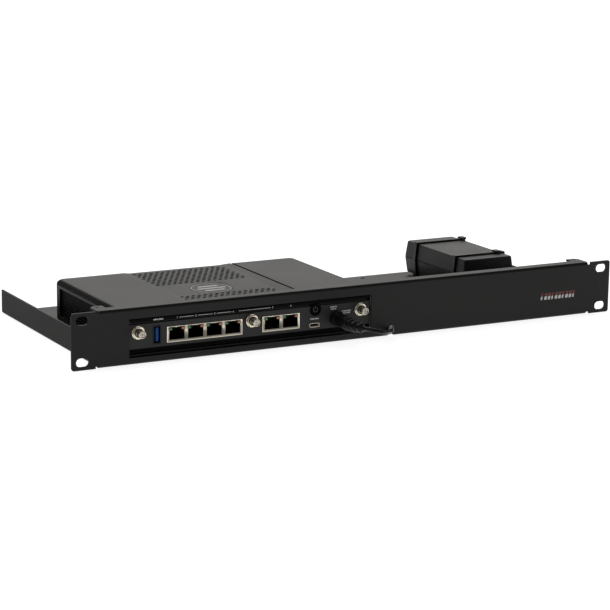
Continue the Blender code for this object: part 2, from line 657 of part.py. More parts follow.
def antenna_connectors():
    """Build the three threaded antenna connectors and their hexagon nuts."""
    bore = 0.0022
    pin = 0.0006
    for index, x in enumerate(SMA_X, start=1):
        profile = [(0.0, SMA_TIP + 0.0015), (pin, SMA_TIP + 0.0015), (pin, SMA_TIP + 0.0060),
                   (bore, SMA_TIP + 0.0060), (bore, SMA_TIP), (SMA_RADIUS - 0.0003, SMA_TIP),
                   (SMA_RADIUS, SMA_TIP + 0.0003), (SMA_RADIUS, 0.0100), (0.0, 0.0100)]
        turned_piece(f"sma_connector_{index}", at(x, 0.0, SMA_Z), profile, NICKEL, sides=20)
        bm = bmesh.new()
        prism(bm, "Y", FRONT - 0.0005, FRONT + 0.0017,
              circle((x, SMA_Z), NUT_ACROSS_FLATS / 2 / math.cos(math.pi / 6), 6))
        nut = add(f"sma_nut_{index}", bm, NICKEL)

        def thread_hole(bm, x=x):
            prism(bm, "Y", FRONT - 0.002, FRONT + 0.003, circle((x, SMA_Z), SMA_RADIUS + GAP, 20))

        combine(nut, "DIFFERENCE", thread_hole)


def buttons():
    """Build the power button with its bezel and switch, and the reset pin with its switch."""
    x, z = BUTTON_CENTRE
    turned_piece("power_button", Vector((x, FRONT, z)),
                 [(0.0, 0.0019), (BUTTON_RADIUS - 0.0003, 0.0019), (BUTTON_RADIUS, 0.0022),
                  (BUTTON_RADIUS, 0.0052), (0.0015, 0.0052), (0.0015, 0.0080), (0.0, 0.0080)],
                 DARK_PLASTIC, sides=28, origin=at(x, 0.0019, z))
    turned_piece("power_button_bezel", Vector((x, FRONT, z)),
                 [(BEZEL_RADII[0], 0.0017), (BEZEL_RADII[1], 0.0017), (BEZEL_RADII[1], 0.0050),
                  (BEZEL_RADII[0], 0.0050)], DARK_PLASTIC, sides=28)
    simple_box("power_switch", at(x - 0.003, 0.0080 + BUTTON_TRAVEL + GAP, BOARD_TOP + GAP),
               at(x + 0.003, 0.0130, z + 0.003), CERAMIC_GREY)
    x, z = RESET_CENTRE
    turned_piece("reset_button", Vector((x, FRONT, z)),
                 [(0.0, 0.0026), (RESET_RADIUS, 0.0026), (RESET_RADIUS, 0.0045), (0.0012, 0.0045),
                  (0.0012, 0.0062), (0.0, 0.0062)], DARK_PLASTIC, sides=12, origin=at(x, 0.0026, z))
    simple_box("reset_switch", at(x - 0.003, 0.0069, BOARD_TOP + GAP), at(x + 0.003, 0.0100, z + 0.002),
               CERAMIC_GREY)


# --- Inside and under the appliance ------------------------------------------------------------------
def electronics():
    """Build the board and what stands on it."""
    simple_box("main_board", at(-0.1900, 0.0068, BOARD_TOP - BOARD_THICKNESS), at(0.0080, 0.1250, BOARD_TOP),
               BOARD_GREEN)
    simple_box("processor", at(-0.1060, 0.0640, BOARD_TOP + GAP), at(-0.0840, 0.0860, 0.0144), CERAMIC_GREY)
    left, right = -0.1250, -0.0650
    base, foot, top = 0.0147, 0.0172, 0.0330
    fins = 9
    pitch = (right - left) / (fins - 0.6)
    outline = [(left, base), (right, base)]
    for fin in reversed(range(fins)):
        low = left + fin * pitch
        outline += [(low + 0.4 * pitch, foot if fin < fins - 1 else base),
                    (low + 0.4 * pitch, top), (low, top), (low, foot if fin else base)]
    outline = [point for index, point in enumerate(outline)
               if (Vector(point) - Vector(outline[index - 1])).length > 1e-6]
    bm = bmesh.new()
    prism(bm, "Y", FRONT + 0.050, FRONT + 0.100, outline)
    add("heat_sink", bm, ALUMINIUM)
    wifi_low, wifi_high = at(-0.0600, 0.0600, BOARD_TOP + GAP), at(-0.0300, 0.0900, 0.0160)
    simple_box("wifi_module", wifi_low, wifi_high, STEEL, bevel=0.0006)
    jack_low, jack_high = at(-0.0225, 0.0038, BOARD_TOP + GAP), at(-0.0125, 0.0180, 0.0240)
    jack = simple_box("dc_jack", jack_low, jack_high, DARK_PLASTIC)

    def socket(bm):
        prism(bm, "Y", FRONT, FRONT + 0.0150, circle(PLUG_CENTRE, 0.0032, 20))

    combine(jack, "DIFFERENCE", socket)


def feet_and_screws(screws):
    """Build the rubber feet and the screws that hold the board and case together."""
    top = CASE_BOTTOM - GAP
    foot = [(0.0, SHEET + GAP), (0.0056, SHEET + GAP), (0.0060, 0.0024), (0.0060, top), (0.0, top)]
    places = ((-0.178, 0.030), (-0.178, 0.105), (-0.008, 0.030), (-0.008, 0.105))
    for index, (x, depth) in enumerate(places, 1):
        turned_piece(f"rubber_foot_{index}", at(x, depth, 0.0), foot, RUBBER, axis="Z")
    head = [(0.0, 0.0032), (0.0022, 0.0032), (0.0028, 0.0038), (0.0028, top)]
    screw = [*head, (0.0014, top), (0.0014, 0.0100), (0.0, 0.0100)]
    for index, (x, depth) in enumerate(screws, 1):
        turned_piece(f"case_screw_{index}", at(x, depth, 0.0), screw, STEEL, sides=16, axis="Z")


# --- Power adapter -----------------------------------------------------------------------------------
def adapter_ring(inset, z):
    """Return the adapter's plan outline at a height."""
    low = (ADAPTER_X[0] + inset, FRONT + ADAPTER_DEPTHS[0] + inset)
    high = (ADAPTER_X[1] - inset, FRONT + ADAPTER_DEPTHS[1] - inset)
    return [Vector((x, y, z)) for x, y in rounded(low, high, 0.0022, 3)]


def adapter_shell(name, far, seam, cavity_end):
    """Build one half of the adapter's housing, drafted from its seam to its far face."""
    away = 1 if far > seam else -1
    bm = bmesh.new()
    loft(bm, [adapter_ring(0.0, seam), adapter_ring(ADAPTER_DRAFT, far - away * 0.0007),
              adapter_ring(ADAPTER_DRAFT + 0.0007, far)])
    shell = add(name, bm, CASE_PLASTIC)
    middle_x = sum(ADAPTER_X) / 2

    def cavity(bm):
        wall = ADAPTER_WALL + ADAPTER_DRAFT
        low, high = sorted((seam - away * 0.002, cavity_end))
        block(bm, at(ADAPTER_X[0] + wall, ADAPTER_DEPTHS[0] + wall, low),
              at(ADAPTER_X[1] - wall, ADAPTER_DEPTHS[1] - wall, high))

    def end_holes(bm):
        half = (INLET_SIZE[0] / 2 + GAP, INLET_SIZE[1] / 2 + GAP)
        block(bm, at(middle_x - half[0], ADAPTER_DEPTHS[1] - 0.010, ADAPTER_SEAM - half[1]),
              at(middle_x + half[0], ADAPTER_DEPTHS[1] + 0.002, ADAPTER_SEAM + half[1]))
        prism(bm, "Y", FRONT + ADAPTER_DEPTHS[0] - 0.002, FRONT + ADAPTER_DEPTHS[0] + 0.010,
              circle((middle_x, ADAPTER_SEAM), 0.0036, 16))

    combine(shell, "DIFFERENCE", cavity)
    combine(shell, "DIFFERENCE", end_holes)


def adapter():
    """Build the power adapter: two shells, the circuit inside, the mains inlet and the lead's exit."""
    middle_x = sum(ADAPTER_X) / 2
    adapter_shell("adapter_lower_shell", ADAPTER_Z[0], ADAPTER_SEAM - GAP / 2, ADAPTER_Z[0] + ADAPTER_WALL)
    adapter_shell("adapter_upper_shell", ADAPTER_Z[1], ADAPTER_SEAM + GAP / 2, ADAPTER_Z[1] - ADAPTER_WALL)
    simple_box("adapter_board", at(0.1655, 0.1060, 0.0075), at(0.2045, 0.1820, 0.0091), BOARD_GREEN)
    simple_box("adapter_transformer", at(0.1720, 0.1300, 0.0094), at(0.1980, 0.1560, 0.0270), CERAMIC_GREY,
               bevel=0.001)
    half = (INLET_SIZE[0] / 2, INLET_SIZE[1] / 2)
    back = ADAPTER_DEPTHS[1] + 0.0002
    inlet = simple_box("mains_inlet", at(middle_x - half[0], back - 0.0140, ADAPTER_SEAM - half[1]),
                       at(middle_x + half[0], back, ADAPTER_SEAM + half[1]), DARK_PLASTIC)
    wide = (INLET_SOCKET[0] / 2, INLET_SOCKET[1] / 2)

    def socket(bm):
        low = (middle_x - wide[0], ADAPTER_SEAM - wide[1])
        high = (middle_x + wide[0], ADAPTER_SEAM + wide[1])
        outline = rounded(low, high, wide[1] - 1e-5, 5)
        prism(bm, "Y", FRONT + back - 0.0115, FRONT + back + 0.001, outline)

    combine(inlet, "DIFFERENCE", socket)
    for name, side in (("inlet_pin_left", -1), ("inlet_pin_right", 1)):
        turned_piece(name, at(middle_x + side * INLET_PIN_PITCH / 2, 0.0, ADAPTER_SEAM),
                     [(0.0, back - 0.0112), (0.0012, back - 0.0112), (0.0012, back - 0.0030),
                      (0.0008, back - 0.0022), (0.0, back - 0.0022)], STEEL, sides=12)
    start, end = ADAPTER_RELIEF_DEPTHS
    profile = [(0.0, start), (0.0026, start)]
    ribs = 5
    for rib in range(ribs):
        place_y = start + 0.003 + rib * 0.0042
        radius = 0.0030 + 0.0003 * rib
        profile += [(radius - 0.0005, place_y), (radius, place_y + 0.0004), (radius, place_y + 0.0024),
                    (radius - 0.0005, place_y + 0.0028)]
    profile += [(0.0033, end - 0.001), (0.0033, end), (0.0, end)]
    turned_piece("adapter_strain_relief", at(middle_x, 0.0, ADAPTER_SEAM), profile, RUBBER, sides=16)


def adapter_section(spread, lift):
    """Return the adapter's section, spread outwards, for a strap to follow: (X, Z) points."""
    low = ADAPTER_X[0] - spread
    high = ADAPTER_X[1] + spread
    inset = ADAPTER_DRAFT
    top = ADAPTER_Z[1] + spread
    return [(low + inset, lift), (high - inset, lift), (high, ADAPTER_SEAM), (high - inset, top - 0.0006),
            (high - inset - 0.0006, top), (low + inset + 0.0006, top), (low + inset, top - 0.0006),
            (low, ADAPTER_SEAM)]


def straps():
    """Build the two cable ties that pass round the adapter and under the tray's saddles."""
    for name, depth in STRAP_DEPTHS.items():
        inner = adapter_section(GAP, SADDLE_CEILING - GAP)
        outer = adapter_section(GAP + STRAP_THICKNESS, SADDLE_CEILING - GAP - STRAP_THICKNESS)
        bm = bmesh.new()
        edges = (FRONT + depth - STRAP_WIDTH / 2, FRONT + depth + STRAP_WIDTH / 2)
        sections = ((edges[0], inner), (edges[0], outer), (edges[1], outer), (edges[1], inner))
        rings = [[place("Y", y, point) for point in outline] for y, outline in sections]
        loops = [[bm.verts.new(point) for point in ring] for ring in rings]
        faces = []
        for here, there in zip(loops, loops[1:] + loops[:1]):
            for index in range(len(here)):
                after = (index + 1) % len(here)
                faces.append(bm.faces.new((here[index], here[after], there[after], there[index])))
        bmesh.ops.recalc_face_normals(bm, faces=faces)
        strap = add(name, bm, NYLON)

        def head(bm, depth=depth, inset=STRAP_HEAD_INSETS[name]):
            low = ADAPTER_X[1] - inset
            bottom = ADAPTER_Z[1] + GAP + 0.0004
            block(bm, at(low, depth - 0.0034, bottom), at(low + 0.0050, depth + 0.0034, 0.0346))

        combine(strap, "UNION", head)


# --- DC lead -----------------------------------------------------------------------------------------
def routed(points):
    """Return a route's points in world coordinates."""
    return [at(*point) for point in points]


def dc_lead():
    """Build the plug, the lead along its route, its coil with a tie, and the plug's strain relief."""
    x, z = PLUG_CENTRE
    turned_piece("dc_plug_barrel", Vector((x, FRONT, z)),
                 [(0.0, 0.0019), (0.00275, 0.0019), (0.00275, 0.0128), (0.0, 0.0128)], NICKEL, sides=20)
    turned_piece("dc_plug", Vector((x, FRONT, z)),
                 [(0.0, -0.0177), (0.0048, -0.0177), (0.0054, -0.0165), (0.0054, -0.0034), (0.0060, -0.0030),
                  (0.0060, 0.0012), (0.0057, 0.0016), (0.0, 0.0016)], RUBBER, sides=28)
    relief = smooth_route(routed(RELIEF_ROUTE), 0.0013)
    count = len(relief)
    radii = []
    for index in range(count):
        share = index / (count - 1)
        taper = 0.0055 - 0.0010 * share - 0.0012 * share ** 4
        radii.append(taper if index % 4 in (0, 1) else taper - 0.0013)
    cord("dc_plug_relief", relief, radii, RUBBER, 3)
    cord("dc_lead_front", smooth_route(routed(FRONT_ROUTE), CORD_STEP), [CORD_RADIUS], RUBBER, 2)
    cord("dc_lead_rear", smooth_route(routed(REAR_ROUTE), CORD_STEP), [CORD_RADIUS], RUBBER, 2)
    inner, outer = COIL_RADII
    low, high = COIL_Z
    turned_piece("dc_lead_coil", at(*COIL_CENTRE, 0.0),
                 [(inner, low + 0.001), (inner + 0.001, low), (outer - 0.001, low), (outer, low + 0.001),
                  (outer, high - 0.001), (outer - 0.001, high), (inner + 0.001, high), (inner, high - 0.001)],
                 RUBBER, sides=36, axis="Z")
    coil_tie()


def coil_tie():
    """Build the small tie round the coil, at the side that faces the back."""
    inner, outer = COIL_RADII
    low, high = COIL_Z
    width = 0.0036
    y = FRONT + COIL_CENTRE[1]
    hollow = ((y + inner - GAP, low), (y + outer + GAP, high + GAP))
    bm = bmesh.new()
    block(bm, (COIL_CENTRE[0] - width / 2, hollow[0][0] - 0.001, SHEET + GAP / 2),
          (COIL_CENTRE[0] + width / 2, hollow[1][0] + 0.001, hollow[1][1] + 0.001))
    tie = add("coil_tie", bm, NYLON)

    def opening(bm):
        sagitta = outer - math.sqrt(outer ** 2 - (width / 2) ** 2)
        block(bm, (COIL_CENTRE[0] - width, hollow[0][0] - sagitta, SHEET - 0.001),
              (COIL_CENTRE[0] + width, hollow[1][0], hollow[1][1]))

    combine(tie, "DIFFERENCE", opening)


def main():
    """Build every piece."""
    screws = ((-0.185, 0.018), (-0.185, 0.118), (0.001, 0.018), (0.001, 0.118))
    clear_scene()
    rack_tray()
    bottom_case(screws)
    top_cover()
    case_inserts()
    port_face()
    network_jacks("lan_jack_block", LAN_X, LAN_CENTRES)
    network_jacks("wan_jack_block", WAN_X, WAN_CENTRES)
    usb_ports()
    antenna_connectors()
    buttons()
    electronics()
    feet_and_screws(screws)
    adapter()
    straps()
    dc_lead()


main()
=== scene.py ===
"""Looks of a desktop firewall appliance that sits in a 19-inch rack kit beside its power adapter."""
import logging
import math
from collections.abc import Callable
from dataclasses import dataclass, replace
from enum import Enum

import bmesh
import bpy
from mathutils import Matrix, Vector


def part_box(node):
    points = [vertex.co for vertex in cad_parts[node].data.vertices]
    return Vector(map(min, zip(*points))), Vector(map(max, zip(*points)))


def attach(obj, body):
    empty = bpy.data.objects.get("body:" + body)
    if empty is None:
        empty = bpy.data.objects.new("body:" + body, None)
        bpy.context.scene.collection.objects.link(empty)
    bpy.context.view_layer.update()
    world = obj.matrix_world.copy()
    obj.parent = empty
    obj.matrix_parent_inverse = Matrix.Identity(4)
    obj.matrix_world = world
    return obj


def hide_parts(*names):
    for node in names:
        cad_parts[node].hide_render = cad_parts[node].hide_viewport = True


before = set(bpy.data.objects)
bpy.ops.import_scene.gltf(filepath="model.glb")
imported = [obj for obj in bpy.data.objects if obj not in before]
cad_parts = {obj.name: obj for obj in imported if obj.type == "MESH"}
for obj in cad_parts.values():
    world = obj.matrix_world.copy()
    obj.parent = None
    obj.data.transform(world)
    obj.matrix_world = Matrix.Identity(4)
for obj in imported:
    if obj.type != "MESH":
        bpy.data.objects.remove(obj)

LOG = logging.getLogger("firewall_appliance")
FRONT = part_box("rack_tray")[0].y
Thing = bpy.types.Object
Socket = bpy.types.NodeSocket
BMesh = bmesh.types.BMesh
Colour = tuple[float, float, float]
Point2 = tuple[float, float]
NOISE_SPAN = (0.3, 0.7)     # where most values of a noise texture lie
SPECK_SPAN = (0.66, 0.74)     # where its few highest values lie
UPRIGHT = math.radians(90.0)
SMOOTH_ANGLE = math.radians(40.0)     # faces that meet at less than this shade as one
FLAT_ANGLE = math.radians(0.5)     # triangles that meet at less than this are one face
DIGIT_SHARE = 0.7     # height of a digit in the built-in font, as a share of its size


def at(x: float, depth: float, z: float) -> Vector:
    """Return the point at a depth behind the panel's front face."""
    return Vector((x, FRONT + depth, z))


def middle_of(node: str) -> Vector:
    """Return the middle of a CAD node's box."""
    low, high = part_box(node)
    return (low + high) / 2


class Body(Enum):
    """The rigid bodies that pieces ride on."""

    ROOT = "root"
    POWER = "power_button"
    RESET = "reset_button"


# --- Node trees --------------------------------------------------------------------------------------
class Tree:
    """A node tree that is being built, for a material or for geometry."""

    def __init__(self, tree: bpy.types.NodeTree) -> None:
        """Keep the node tree, of a material or of a geometry group, that nodes are added to."""
        self.tree = tree

    def add(self, kind: str, inputs: dict | None = None, **settings: object) -> bpy.types.Node:
        """Add a node, set its properties and fill its inputs.

        Args:
            kind: The node's type name.
            inputs: Values or output sockets by the input's name or number.
            settings: Properties of the node.

        Returns:
            The new node.
        """
        node = self.tree.nodes.new(kind)
        for name, value in settings.items():
            setattr(node, name, value)
        self.fill(node, inputs or {})
        return node

    def fill(self, node: bpy.types.Node, inputs: dict) -> None:
        """Fill a node's inputs with values, or link other nodes' outputs to them.

        Args:
            node: The node.
            inputs: Values or output sockets by the input's name or number.
        """
        for key, value in inputs.items():
            if isinstance(value, Socket):
                self.tree.links.new(value, node.inputs[key])
            else:
                node.inputs[key].default_value = value

    def maths(self, operation: str, first: object, second: object = 0.0) -> Socket:
        """Return the result of a Math node."""
        kind = "ShaderNodeMath"
        return self.add(kind, {0: first, 1: second}, operation=operation).outputs[0]

    def noise(self, place: Socket, scale: float, detail: float = 2.0) -> Socket:
        """Return a noise texture's value."""
        inputs = {"Vector": place, "Scale": scale, "Detail": detail}
        return self.add("ShaderNodeTexNoise", inputs).outputs["Fac"]

    def remap(self, value: Socket, span: Point2, result: Point2 = (0.0, 1.0)) -> Socket:
        """Move a value from one range to another.

        Args:
            value: The value's socket.
            span: Low and high end of the first range.
            result: Low and high end of the second range, which the result stays in.

        Returns:
            The moved value's socket.
        """
        inputs = {"Value": value, "From Min": span[0], "From Max": span[1],
                  "To Min": result[0], "To Max": result[1]}
        return self.add("ShaderNodeMapRange", inputs).outputs["Result"]


# --- Finishes ----------------------------------------------------------------------------------------
@dataclass(frozen=True)
class Finish:
    """A surface with a slow drift of tone, a drift of gloss and a fine grain in relief.

    Attributes:
        name: The material's name.
        colour: Base colour, linear.
        roughness: Middle of the roughness range.
        metallic: 1 for bare or plated metal.
        specular: Specular level of the dielectric.
        drift: How far tone and gloss wander, as a share.
        drift_scale: Frequency of the wandering, in 1/m.
        grain_scale: Frequency of the grain, in 1/m.
        grain_height: Height of the grain in metres.
    """

    name: str
    colour: Colour
    roughness: float
    metallic: float = 0.0
    specular: float = 0.5
    drift: float = 0.12
    drift_scale: float = 30.0
    grain_scale: float = 2500.0
    grain_height: float = 0.00002

    def material(self) -> bpy.types.Material:
        """Return the finish's material, made on first use.

        Returns:
            The material.
        """
        label = "finish_" + self.name
        known = bpy.data.materials.get(label)
        if known:
            return known
        material = bpy.data.materials.new(label)
        material.use_nodes = True
        material.diffuse_color = (*self.colour, 1.0)
        tree = Tree(material.node_tree)
        coordinates = tree.add("ShaderNodeTexCoord").outputs["Object"]
        cloud = tree.noise(coordinates, self.drift_scale, 3.0)
        low, high = (tuple(channel * share for channel in self.colour)
                     for share in (1.0 - self.drift, 1.0 + self.drift))
        tone = self.blend(tree, cloud, low, high)
        wander = 0.5 * self.drift
        gloss = (self.roughness * (1.0 - wander), self.roughness * (1.0 + wander))
        relief = tree.add("ShaderNodeBump", {
            "Strength": 1.0, "Distance": self.grain_height, "Height": self.grain(tree, coordinates)})
        tree.fill(material.node_tree.nodes["Principled BSDF"], {
            "Base Color": self.tint(tree, coordinates, tone), "Metallic": self.metallic,
            "Specular IOR Level": self.specular, "Roughness": tree.remap(cloud, NOISE_SPAN, gloss),
            "Normal": relief.outputs["Normal"], **self.extras()})
        return material

    def blend(self, tree: Tree, factor: Socket, low: Colour, high: Colour) -> Socket:
        """Return a colour between two colours.

        Args:
            tree: The material's tree.
            factor: Share of the second colour.
            low: First colour.
            high: Second colour.

        Returns:
            The mixed colour's socket.
        """
        ramp = tree.add("ShaderNodeValToRGB", {"Fac": factor})
        for stop, position, colour in zip(ramp.color_ramp.elements, NOISE_SPAN, (low, high)):
            stop.position = position
            stop.color = (*colour, 1.0)
        return ramp.outputs["Color"]

    def tint(self, tree: Tree, coordinates: Socket, tone: Socket) -> Socket:
        """Return the colour with this finish's own pattern; the plain one has none."""
        return tone

    def grain(self, tree: Tree, coordinates: Socket) -> Socket:
        """Return the height of the fine grain."""
        return tree.noise(coordinates, self.grain_scale)

    def extras(self) -> dict[str, object]:
        """Return values for the shader sockets that only some finishes use."""
        return {}


@dataclass(frozen=True)
class PowderCoat(Finish):
    """Baked powder paint: rounded orange-peel cells with a few coarser grains and dust specks.

    Attributes:
        fleck: How much lighter a speck is.
    """

    fleck: float = 1.6

    def grain(self, tree: Tree, coordinates: Socket) -> Socket:
        """Return smooth cells with noise over them."""
        cells = tree.add("ShaderNodeTexVoronoi", {"Vector": coordinates, "Scale": self.grain_scale,
                                                  "Smoothness": 0.6}, feature="SMOOTH_F1")
        half = tree.maths("MULTIPLY", tree.noise(coordinates, self.grain_scale * 2.3), 0.5)
        return tree.maths("ADD", cells.outputs["Distance"], half)

    def tint(self, tree: Tree, coordinates: Socket, tone: Socket) -> Socket:
        """Lighten single grains of the powder."""
        mask = tree.remap(tree.noise(coordinates, self.grain_scale * 0.7), SPECK_SPAN)
        lit = tree.add("ShaderNodeVectorMath", {0: tone, "Scale": self.fleck}, operation="SCALE")
        mixed = tree.add("ShaderNodeMix", {0: mask, 6: tone, 7: lit.outputs[0]}, data_type="RGBA")
        return mixed.outputs[2]


@dataclass(frozen=True)
class SparkPlastic(Finish):
    """Plastic from a spark-eroded mould: small random pits."""

    def grain(self, tree: Tree, coordinates: Socket) -> Socket:
        """Return pits of two sizes."""
        pits = tree.add("ShaderNodeTexVoronoi", {"Vector": coordinates, "Scale": self.grain_scale})
        fine = tree.noise(coordinates, self.grain_scale * 1.7, 3.0)
        return tree.maths("MULTIPLY", pits.outputs["Distance"], fine)


@dataclass(frozen=True)
class PlatedMetal(Finish):
    """Plated or drawn metal with fine lines along one direction.

    Attributes:
        stretch: Scale of the lines along X, Y and Z; the smallest is the direction of the lines.
    """

    stretch: tuple[float, float, float] = (1.0, 0.08, 1.0)

    def grain(self, tree: Tree, coordinates: Socket) -> Socket:
        """Return drawn-out noise."""
        drawn = tree.add("ShaderNodeMapping", {"Vector": coordinates, "Scale": self.stretch})
        return tree.noise(drawn.outputs["Vector"], self.grain_scale, 4.0)


@dataclass(frozen=True)
class SolderMask(Finish):
    """Circuit board lacquer over copper tracks that run square to each other."""

    track: Colour = (0.02, 0.14, 0.06)

    def tint(self, tree: Tree, coordinates: Socket, tone: Socket) -> Socket:
        """Draw the tracks as the joints of a brick pattern."""
        bricks = tree.add("ShaderNodeTexBrick", {
            "Vector": coordinates, "Color1": tone, "Color2": tone, "Mortar": (*self.track, 1.0),
            "Scale": 60.0, "Mortar Size": 0.03, "Brick Width": 0.7, "Row Height": 0.12})
        return bricks.outputs["Color"]


@dataclass(frozen=True)
class LightPipe(Finish):
    """Tinted clear plastic that leads an indicator's light to the front."""

    glow: float = 0.4

    def extras(self) -> dict[str, object]:
        """Let the pipe glow a little and coat it."""
        return {"Emission Color": (*self.colour, 1.0), "Emission Strength": self.glow, "Coat Weight": 0.4}


@dataclass(frozen=True)
class Rubber(Finish):
    """Moulded soft rubber or cable jacket with a faint bloom."""

    def extras(self) -> dict[str, object]:
        """Add the bloom as a weak sheen."""
        return {"Sheen Weight": 0.02, "Sheen Roughness": 0.4}


STEEL_SHEET = PowderCoat("powder_coated_steel", (0.0074, 0.0069, 0.0065), 0.45, specular=0.21, drift=0.10,
                         drift_scale=14.0, grain_scale=1500.0, grain_height=0.00004)
# Less glossy copy of the coat: painted shade on the tray's side walls and a painted dark reflection on the
# bend above the panel.
SHEET_PAINTED_SHADE = replace(STEEL_SHEET, name="powder_coat_painted_shade", roughness=0.50, specular=0.06)
CASE_BLACK = SparkPlastic("case_plastic", (0.0072, 0.0068, 0.0065), 0.46, specular=0.22, drift=0.08,
                          drift_scale=18.0, grain_scale=3200.0, grain_height=0.00003)
# Near-black with little gloss: the own colour of black parts, and painted shade on the lid's vent walls and
# on the plate in the slot under the face.
BLACK_AND_SHADE = SparkPlastic("dark_plastic", (0.0012, 0.0011, 0.0011), 0.50, specular=0.05, drift=0.10,
                          drift_scale=60.0, grain_scale=4000.0)
FACE_GREY = SparkPlastic("face_plastic", (0.0150, 0.0147, 0.0145), 0.50, specular=0.26, drift=0.06,
                         drift_scale=40.0, grain_scale=5000.0, grain_height=0.00001)
ADAPTER_BLACK = SparkPlastic("adapter_plastic", (0.0052, 0.0049, 0.0046), 0.43, specular=0.20, drift=0.10,
                             drift_scale=40.0, grain_scale=2200.0, grain_height=0.00005)
CABLE_BLACK = Rubber("cable_rubber", (0.0022, 0.0021, 0.0020), 0.36, specular=0.14, drift=0.15,
                     drift_scale=120.0, grain_scale=1800.0)
SOFT_RUBBER = Rubber("foot_rubber", (0.0080, 0.0076, 0.0072), 0.70, specular=0.3, drift=0.15,
                     drift_scale=90.0)
NYLON = Finish("nylon", (0.0030, 0.0029, 0.0028), 0.38, specular=0.18, drift_scale=200.0,
               grain_scale=900.0)
NICKEL = PlatedMetal("nickel", (0.72, 0.66, 0.54), 0.26, metallic=1.0, drift=0.05, drift_scale=200.0,
                     grain_scale=1600.0, grain_height=0.00001)
SHIELD = PlatedMetal("shield_nickel", (0.86, 0.79, 0.67), 0.46, metallic=1.0, drift=0.04, drift_scale=160.0,
                     grain_scale=1400.0, grain_height=0.00001, stretch=(0.08, 1.0, 1.0))
STEEL = PlatedMetal("plated_steel", (0.50, 0.49, 0.48), 0.32, metallic=1.0, drift=0.08, drift_scale=90.0)
DARK_STEEL = PlatedMetal("darkened_steel", (0.030, 0.031, 0.036), 0.36, metallic=1.0, drift=0.08,
                         drift_scale=90.0)
GOLD = PlatedMetal("gold_flash", (0.95, 0.68, 0.26), 0.22, metallic=1.0, drift=0.04, drift_scale=300.0)
ALUMINIUM = PlatedMetal("aluminium", (0.62, 0.63, 0.64), 0.38, metallic=1.0, stretch=(1.0, 0.05, 1.0))
BOARD = SolderMask("solder_mask", (0.010, 0.080, 0.035), 0.38)
CHIP = Finish("chip_grey", (0.045, 0.045, 0.046), 0.50, drift_scale=120.0)
SYMBOL = Finish("symbol_grey", (0.060, 0.060, 0.060), 0.45, drift_scale=400.0)
USB_BLUE = Finish("usb_blue", (0.003, 0.046, 0.180), 0.40, specular=0.15, drift_scale=200.0)
# Darkened copy of the nickel for the aerial barrels: a painted dark reflection.
NICKEL_PAINTED_DARK = PlatedMetal("nickel_painted_dark", (0.16, 0.145, 0.120), 0.24, metallic=1.0, drift=0.05,
                           drift_scale=300.0, grain_height=0.00001)
INSULATOR = Finish("insulator", (0.62, 0.57, 0.48), 0.45, drift_scale=300.0)
BADGE_LIGHT = Finish("badge_light", (0.30, 0.295, 0.285), 0.36, drift=0.05, drift_scale=60.0)
INK = Finish("white_ink", (0.46, 0.46, 0.45), 0.60, drift=0.25, drift_scale=900.0)
INK_RED = Finish("red_ink", (0.125, 0.022, 0.016), 0.60, drift=0.25, drift_scale=900.0)
GREEN_PIPE = LightPipe("green_light_pipe", (0.012, 0.120, 0.022), 0.30, glow=0.08)
AMBER_PIPE = LightPipe("amber_light_pipe", (0.34, 0.110, 0.018), 0.30, glow=0.08)
CLEAR_PIPE = LightPipe("clear_light_pipe", (0.10, 0.11, 0.115), 0.25, glow=0.02)


# --- Mesh tools --------------------------------------------------------------------------------------
def settle(thing: Thing) -> Thing:
    """Turn an object's modifiers into its mesh.

    Args:
        thing: A mesh object with modifiers.

    Returns:
        The same object, with a plain mesh.
    """
    shown = thing.evaluated_get(bpy.context.evaluated_depsgraph_get())
    mesh = bpy.data.meshes.new_from_object(shown)
    mesh.name = thing.name
    thing.modifiers.clear()
    thing.data = mesh
    return thing


def make_object(name: str, data: bpy.types.ID) -> Thing:
    """Link a new object.

    Args:
        name: Its name.
        data: The mesh, curve, light or camera that it holds.

    Returns:
        The object.
    """
    thing = bpy.data.objects.new(name, data)
    bpy.context.scene.collection.objects.link(thing)
    return thing


def mesh_object(name: str, bm: BMesh) -> Thing:
    """Turn a bmesh into a linked object and free it.

    Args:
        name: The object's name.
        bm: Its shape.

    Returns:
        The object.
    """
    mesh = bpy.data.meshes.new(name)
    bm.to_mesh(mesh)
    bm.free()
    return make_object(name, mesh)


def soften(thing: Thing, width: float, segments: int = 2, sharp: float = 30.0) -> Thing:
    """Round an object's sharp edges and give its flat faces flat shading normals.

    Args:
        thing: The object.
        width: Width of the rounding in metres, or 0 for none.
        segments: Faces across each rounded edge.
        sharp: Edges that turn more than this many degrees are rounded.

    Returns:
        The same object.
    """
    if width:
        bevel = thing.modifiers.new("edges", "BEVEL")
        bevel.width = width
        bevel.segments = segments
        bevel.limit_method = "ANGLE"
        bevel.angle_limit = math.radians(sharp)
        bevel.miter_outer = "MITER_ARC"
        settle(thing)
    thing.data.shade_smooth()
    thing.data.set_sharp_from_angle(angle=SMOOTH_ANGLE)
    normals = thing.modifiers.new("normals", "WEIGHTED_NORMAL")
    normals.keep_sharp = True
    return settle(thing)


def merged_copy(node: str, name: str, whole_faces: bool = True) -> Thing:
    """Copy a CAD node with its triangles joined.

    Args:
        node: The CAD node.
        name: The new piece's name.
        whole_faces: Also dissolve the triangles into whole flat faces.

    Returns:
        The new object.
    """
    bm = bmesh.new()
    bm.from_mesh(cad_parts[node].data)
    bmesh.ops.remove_doubles(bm, verts=bm.verts, dist=2e-6)
    if whole_faces:
        bmesh.ops.dissolve_limit(bm, angle_limit=FLAT_ANGLE, verts=bm.verts, edges=bm.edges)
    return mesh_object(name, bm)


def paint(thing: Thing, *finishes: Finish) -> Thing:
    """Give an object its finishes.

    Args:
        thing: The object.
        finishes: The finishes in slot order.

    Returns:
        The same object.
    """
    thing.data.materials.clear()
    for finish in finishes:
        thing.data.materials.append(finish.material())
    return thing


